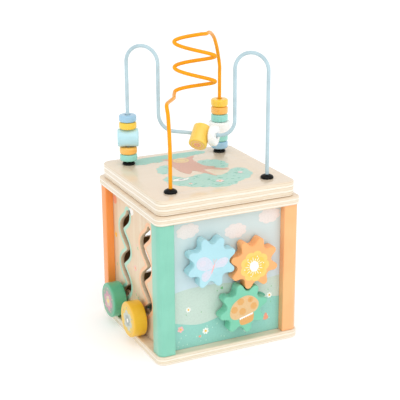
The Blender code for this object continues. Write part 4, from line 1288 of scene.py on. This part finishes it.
def add_blocks():
    for name, (corners, _at, colour, slot) in sorter_shapes().items():
        node = name + "_block"
        low, high, centre = box(node)
        if corners is None:
            offset = Vector((0, 0))
        else:
            loop = block_loop(corners, 0)
            xs = [x for x, _y in loop]
            ys = [y for _x, y in loop]
            offset = Vector(((min(xs) + max(xs)) / 2, (min(ys) + max(ys)) / 2))
        world = upright(centre.x - offset.x, centre.y - offset.y, centre.z)
        outline = [block_loop(corners, 0)]
        block = flat_shape(node + "_painted", outline, high.z - low.z, world, BLOCK_EDGE, 3)
        dress(block, materials[colour], node, [node])


# ---------------------------------------------------------------- learning clock


def add_clock_wall():
    repaint("clock_panel", "clock_panel")
    wall = facing(PANEL_FACE, 0, 0, "+X")
    dial = wall @ Matrix.Translation((0, CLOCK_HEIGHT, 0))
    ticks = []
    for number in range(60):
        turn = 2 * pi * number / 60
        length = 2.4 if number % 5 else 4.4
        width = 0.8 if number % 5 else 1.44
        reach = 53.8 - length / 2
        tick = rounded_rectangle(length, width, 0.3, 2)
        ticks.append(moved(tick, reach * cos(turn), reach * sin(turn), turn))
    prints = [
        ("dial_ring", 0, "mint", [circle(62, steps=96), circle(56, steps=96)]),
        ("dial_face", 0, "white", [circle(55.6, steps=96)]),
        ("dial_ticks", 1, "ink", ticks),
    ]
    artwork(dial, "case", prints)
    pads = []
    for hour in range(1, 13):
        turn = pi / 2 - 2 * pi * hour / 12
        at = (42 * cos(turn), 42 * sin(turn))
        pads.append(circle(6.0, at, 28))
        numeral(str(hour), dial, *at)
    colours = ("butter", "peach", "sky", "mint")
    prints = [(f"dial_pads_{colour}", 1, colour, pads[first::4]) for first, colour in enumerate(colours)]
    prints.append(("dial_middle", 1, "butter", [lobed(0, 0, 13, 8, 0.14)]))
    artwork(dial, "case", prints)
    middle = CLOCK_HEIGHT / MM
    corners = [(-66, middle - 74), (66, middle - 74), (-66, middle + 74), (66, middle + 74)]
    prints = [
        ("clock_corner_flowers", 0, "pink", [lobed(x, y, 5, 6, 0.34) for x, y in corners]),
        ("clock_corner_hearts", 1, "sun", [circle(1.7, at, 16) for at in corners]),
    ]
    artwork(wall, "case", prints)


def numeral(text, dial, x, y):
    """A printed hour number."""
    letters = bpy.data.curves.new("numeral_" + text, "FONT")
    letters.body = text
    letters.size = 8 * MM
    letters.align_x = "CENTER"
    letters.align_y = "CENTER"
    letters.extrude = INK / 2
    printed = add_object("dial_number_" + text, baked("numeral", letters))
    printed.matrix_world = dial @ Matrix.Translation((x * MM, y * MM, INK * 2.5))
    dress(printed, inks["ink"], "case")


def add_hands():
    """Painted clock hands with a round hub and a pointed tip."""
    for name, colour, slot, turn in [
        ("hour_hand", "peach", "peach_paint", radians(-60)),
        ("minute_hand", "mint", "mint_paint", 0.0),
    ]:
        low, high, middle = box(name)
        length = HAND_LENGTHS[name]
        neck = length - HAND_TIP
        hub = quarter((0, 0), HAND_HUB, 150, 390, 28)
        right = [(HAND_SHAFT, 0.009), (HAND_SHAFT, neck), (HAND_BARB, neck)]
        tip = right + [(0, length)] + [(-x, y) for x, y in right[::-1]]
        world = facing(middle.x, 0, CLOCK_HEIGHT, "+X") @ Matrix.Rotation(turn, 4, "Z")
        loops = [hub + tip, circle(HAND_BORE, steps=24)]
        hand = flat_shape(name + "_painted", loops, high.x - low.x, world, HAND_EDGE, 2)
        dress(hand, materials[colour], name, [name])


# ---------------------------------------------------------------- lid picture


def draw_lid():
    """A tree in a meadow, seen the right way up from the back of the cube."""
    ridge = [(-60, 57), (-48, 54), (-38, 58), (-28, 55), (-18, 60), (-6, 58), (4, 63), (14, 61)]
    ridge += [(26, 66), (44, 68)]
    meadow = []
    for (x0, y0), (x1, y1) in zip(ridge, ridge[1:]):
        for step in range(4):
            share = step / 4
            blade = 1.4 if step % 2 else -0.8
            meadow.append((x0 + (x1 - x0) * share, y0 + (y1 - y0) * share + blade))
    meadow += [(44, 68), (50, 76), (40, 83), (0, 84), (-40, 83), (-62, 78)]
    leafy = [
        [(20, 36), (33, 38), (46, 31), (50, 14), (44, 0), (33, -2), (23, 12), (17, 22)],
        [(-38, 34), (-26, 38), (-28, 23), (-40, 6), (-47, 14)],
        [(43, -13), (58, -14), (60, -37), (47, -54), (31, -61), (17, -71), (0, -73), (-15, -66)]
        + [(-29, -60), (-45, -46), (-53, -32), (-50, -13), (-36, -8), (-25, -22), (-9, -18)]
        + [(5, -17), (16, -30), (32, -24)],
    ]
    crown = [lumpy(smooth_loop(patch, 10), 2.6, len(patch) + 3) for patch in leafy]
    trunk = [(-22, 66), (-13, 54), (-19, 38), (-20, 22), (-20, 6), (-15, -8), (-9, -4), (-3, 3), (5, -12)]
    trunk += [(13, -29), (15, -29), (11, -8), (13, 2), (24, -4), (38, -12), (41, -9), (28, 2), (20, 10)]
    trunk += [(24, 4), (30, 6), (20, 16), (17, 34), (18, 50), (26, 64), (6, 58)]
    blossom = [(8, -52, 5.4), (-30, -46, 2.6), (48, -31, 3.6)]
    draw = random.Random(11)
    bird = [(-46, -27), (-41, -22), (-34, -22), (-27, -25), (-22, -23), (-26, -29), (-34, -31), (-42, -30)]
    prints = [
        ("meadow", 0, "mint", [meadow]),
        ("tree_crown", 0, "crown", crown),
        ("tree_trunk", 1, "bark", [smooth_loop(trunk, 5)]),
        ("tree_hollow", 2, "hollow", [ellipse(1, 50, 11, 10)]),
        ("tree_hollow_ring", 3, "bark", [ellipse(1, 50, 7.6, 6.6), ellipse(1, 50, 6.6, 5.7)]),
        ("leaf_strokes", 1, "deep_mint", leaf_strokes(draw, leafy, 64, (1.8, 3.0), 0.6)),
        ("leaf_strokes_pale", 2, "fleck", leaf_strokes(draw, leafy, 26, (1.6, 2.6), 0.55)),
        ("bird", 3, "white", [smooth_loop(bird)]),
        ("bird_wing", 4, "grey", [ellipse(-34, -26, 4.2, 1.8, 0.2)]),
        ("bird_beak", 3, "sun", [smooth_loop([(-46, -27), (-50, -26), (-46, -25)])]),
        ("blossom", 3, "blush", [lobed(x, y, size, 5, 0.3) for x, y, size in blossom]),
        ("blossom_hearts", 4, "sun", [circle(1.4, (8, -52), 14), circle(0.8, (-30, -46), 14)]),
    ]
    artwork(upright(0, 0, LID_HIGH.z), "lid", prints)


def leaf_strokes(draw, leafy, count, half_lengths, half_width):
    """Small strokes strewn over the leafy patches."""
    strokes = []
    while len(strokes) < count:
        x = draw.uniform(-52, 58)
        y = draw.uniform(-70, 36)
        if any(inside(patch, x, y) for patch in leafy):
            half_length = draw.uniform(*half_lengths)
            strokes.append(ellipse(x, y, half_length, half_width, draw.uniform(-0.5, 0.5), 12))
    return strokes


def inside(loop, x, y):
    """True when a point lies inside a closed outline."""
    crossings = 0
    for (x0, y0), (x1, y1) in zip(loop, loop[1:] + loop[:1]):
        if (y0 > y) != (y1 > y) and x < x0 + (x1 - x0) * (y - y0) / (y1 - y0):
            crossings += 1
    return crossings % 2 == 1


def lumpy(loop, size, lumps):
    """Small round lumps along an outline, as leaves make."""
    count = len(loop)
    middle = sum((Vector(at) for at in loop), Vector((0, 0))) / count
    grown = []
    for number, at in enumerate(loop):
        away = (Vector(at) - middle).normalized()
        swell = abs(sin(pi * lumps * number / count)) ** 0.8
        grown.append(tuple(Vector(at) + away * size * swell))
    return grown


# ---------------------------------------------------------------- fixings


def add_fixings():
    for name in ("orange", "blue", "green"):
        repaint(name + "_gear_rivet", "steel")
    repaint("clock_rivet", "steel")
    for number in range(1, 5):
        node = f"base_screw_{number}"
        low, high, centre = box(node)
        radius = (high.x - low.x) / 2
        profile = [(0, high.z), (SCREW_SHANK / 2, high.z - 0.002), (SCREW_SHANK, high.z - 0.006)]
        profile += [(SCREW_SHANK, low.z + 0.003), (radius, low.z + 0.0006)]
        profile += [(radius - 0.0002, low.z + 0.0002), (0, low.z)]
        screw = lathe(node + "_turned", profile, upright(centre.x, centre.y, 0), 32)
        plus = [cross_outline(RECESS_ARM, RECESS_HALF_WIDTH)]
        cross = flat_shape(node + "_cross", plus, 2 * RECESS_DEPTH, upright(centre.x, centre.y, low.z))
        cut(screw, cross)
        dress(screw, materials["steel"], "case", [node])


def cross_outline(arm, half):
    """A plus sign, for the driver recess."""
    corner = [(arm, -half), (arm, half), (half, half)]
    return [at for quarter_turn in range(4) for at in moved(corner, 0, 0, quarter_turn * pi / 2)]


# ---------------------------------------------------------------- studio


def add_camera():
    data = bpy.data.cameras.new("photo_camera")
    data.lens = LENS
    data.sensor_width = SENSOR
    camera = add_object("photo_camera", data)
    look = Matrix.Rotation(CAMERA_AZIMUTH, 4, "Z") @ Matrix.Rotation(pi / 2 - CAMERA_ELEVATION, 4, "X")
    camera.matrix_world = Matrix.Translation(CAMERA_AT) @ look @ Matrix.Rotation(CAMERA_ROLL, 4, "Z")
    bpy.context.scene.camera = camera


def add_sun(name, azimuth, elevation, strength, softness):
    """A broad distant light, from a compass azimuth like the camera's and a height in degrees."""
    data = bpy.data.lights.new(name, "SUN")
    data.energy = strength
    data.angle = radians(softness)
    light = add_object(name, data)
    turn = Matrix.Rotation(radians(azimuth), 4, "Z")
    light.matrix_world = turn @ Matrix.Rotation(radians(90 - elevation), 4, "X")


def add_softbox(name, at, target, size, power):
    """A panel light whose reflection shows in the lacquer and on the wires."""
    data = bpy.data.lights.new(name, "AREA")
    data.shape = "RECTANGLE"
    data.size = size[0]
    data.size_y = size[1]
    data.energy = power
    light = add_object(name, data)
    away = Vector(at) - Vector(target)
    light.matrix_world = Matrix.Translation(at) @ away.to_track_quat("Z", "Y").to_matrix().to_4x4()


def add_studio():
    floor_mesh = bpy.data.meshes.new("floor")
    sheet = bmesh.new()
    bmesh.ops.create_grid(sheet, x_segments=8, y_segments=8, size=20.0)
    sheet.to_mesh(floor_mesh)
    sheet.free()
    floor = add_object("floor", floor_mesh)
    floor.location = (0, 0, -0.0002)
    floor.data.materials.append(studio_floor("studio_white"))
    world = bpy.data.worlds.new("studio")
    world.use_nodes = True
    world.node_tree.nodes["Background"].inputs["Color"].default_value = (1, 1, 1, 1)
    world.node_tree.nodes["Background"].inputs["Strength"].default_value = 0.865
    bpy.context.scene.world = world
    add_sun("key", -14, 50, 0.65, 60)
    add_sun("fill", -70, 55, 0.12, 60)
    add_softbox("softbox", (0.9, -1.5, 1.3), (0, 0, 0.2), (0.5, 0.5), 2.0)
    bpy.context.scene.view_settings.view_transform = "Standard"


add_camera()
add_studio()
add_boards()
add_posts()
add_maze()
add_beads()
add_barrels()
draw_front_wall()
add_gears()
add_track_wall()
add_knobs()
add_sorter_wall()
add_blocks()
add_clock_wall()
add_hands()
add_fixings()
draw_lid()
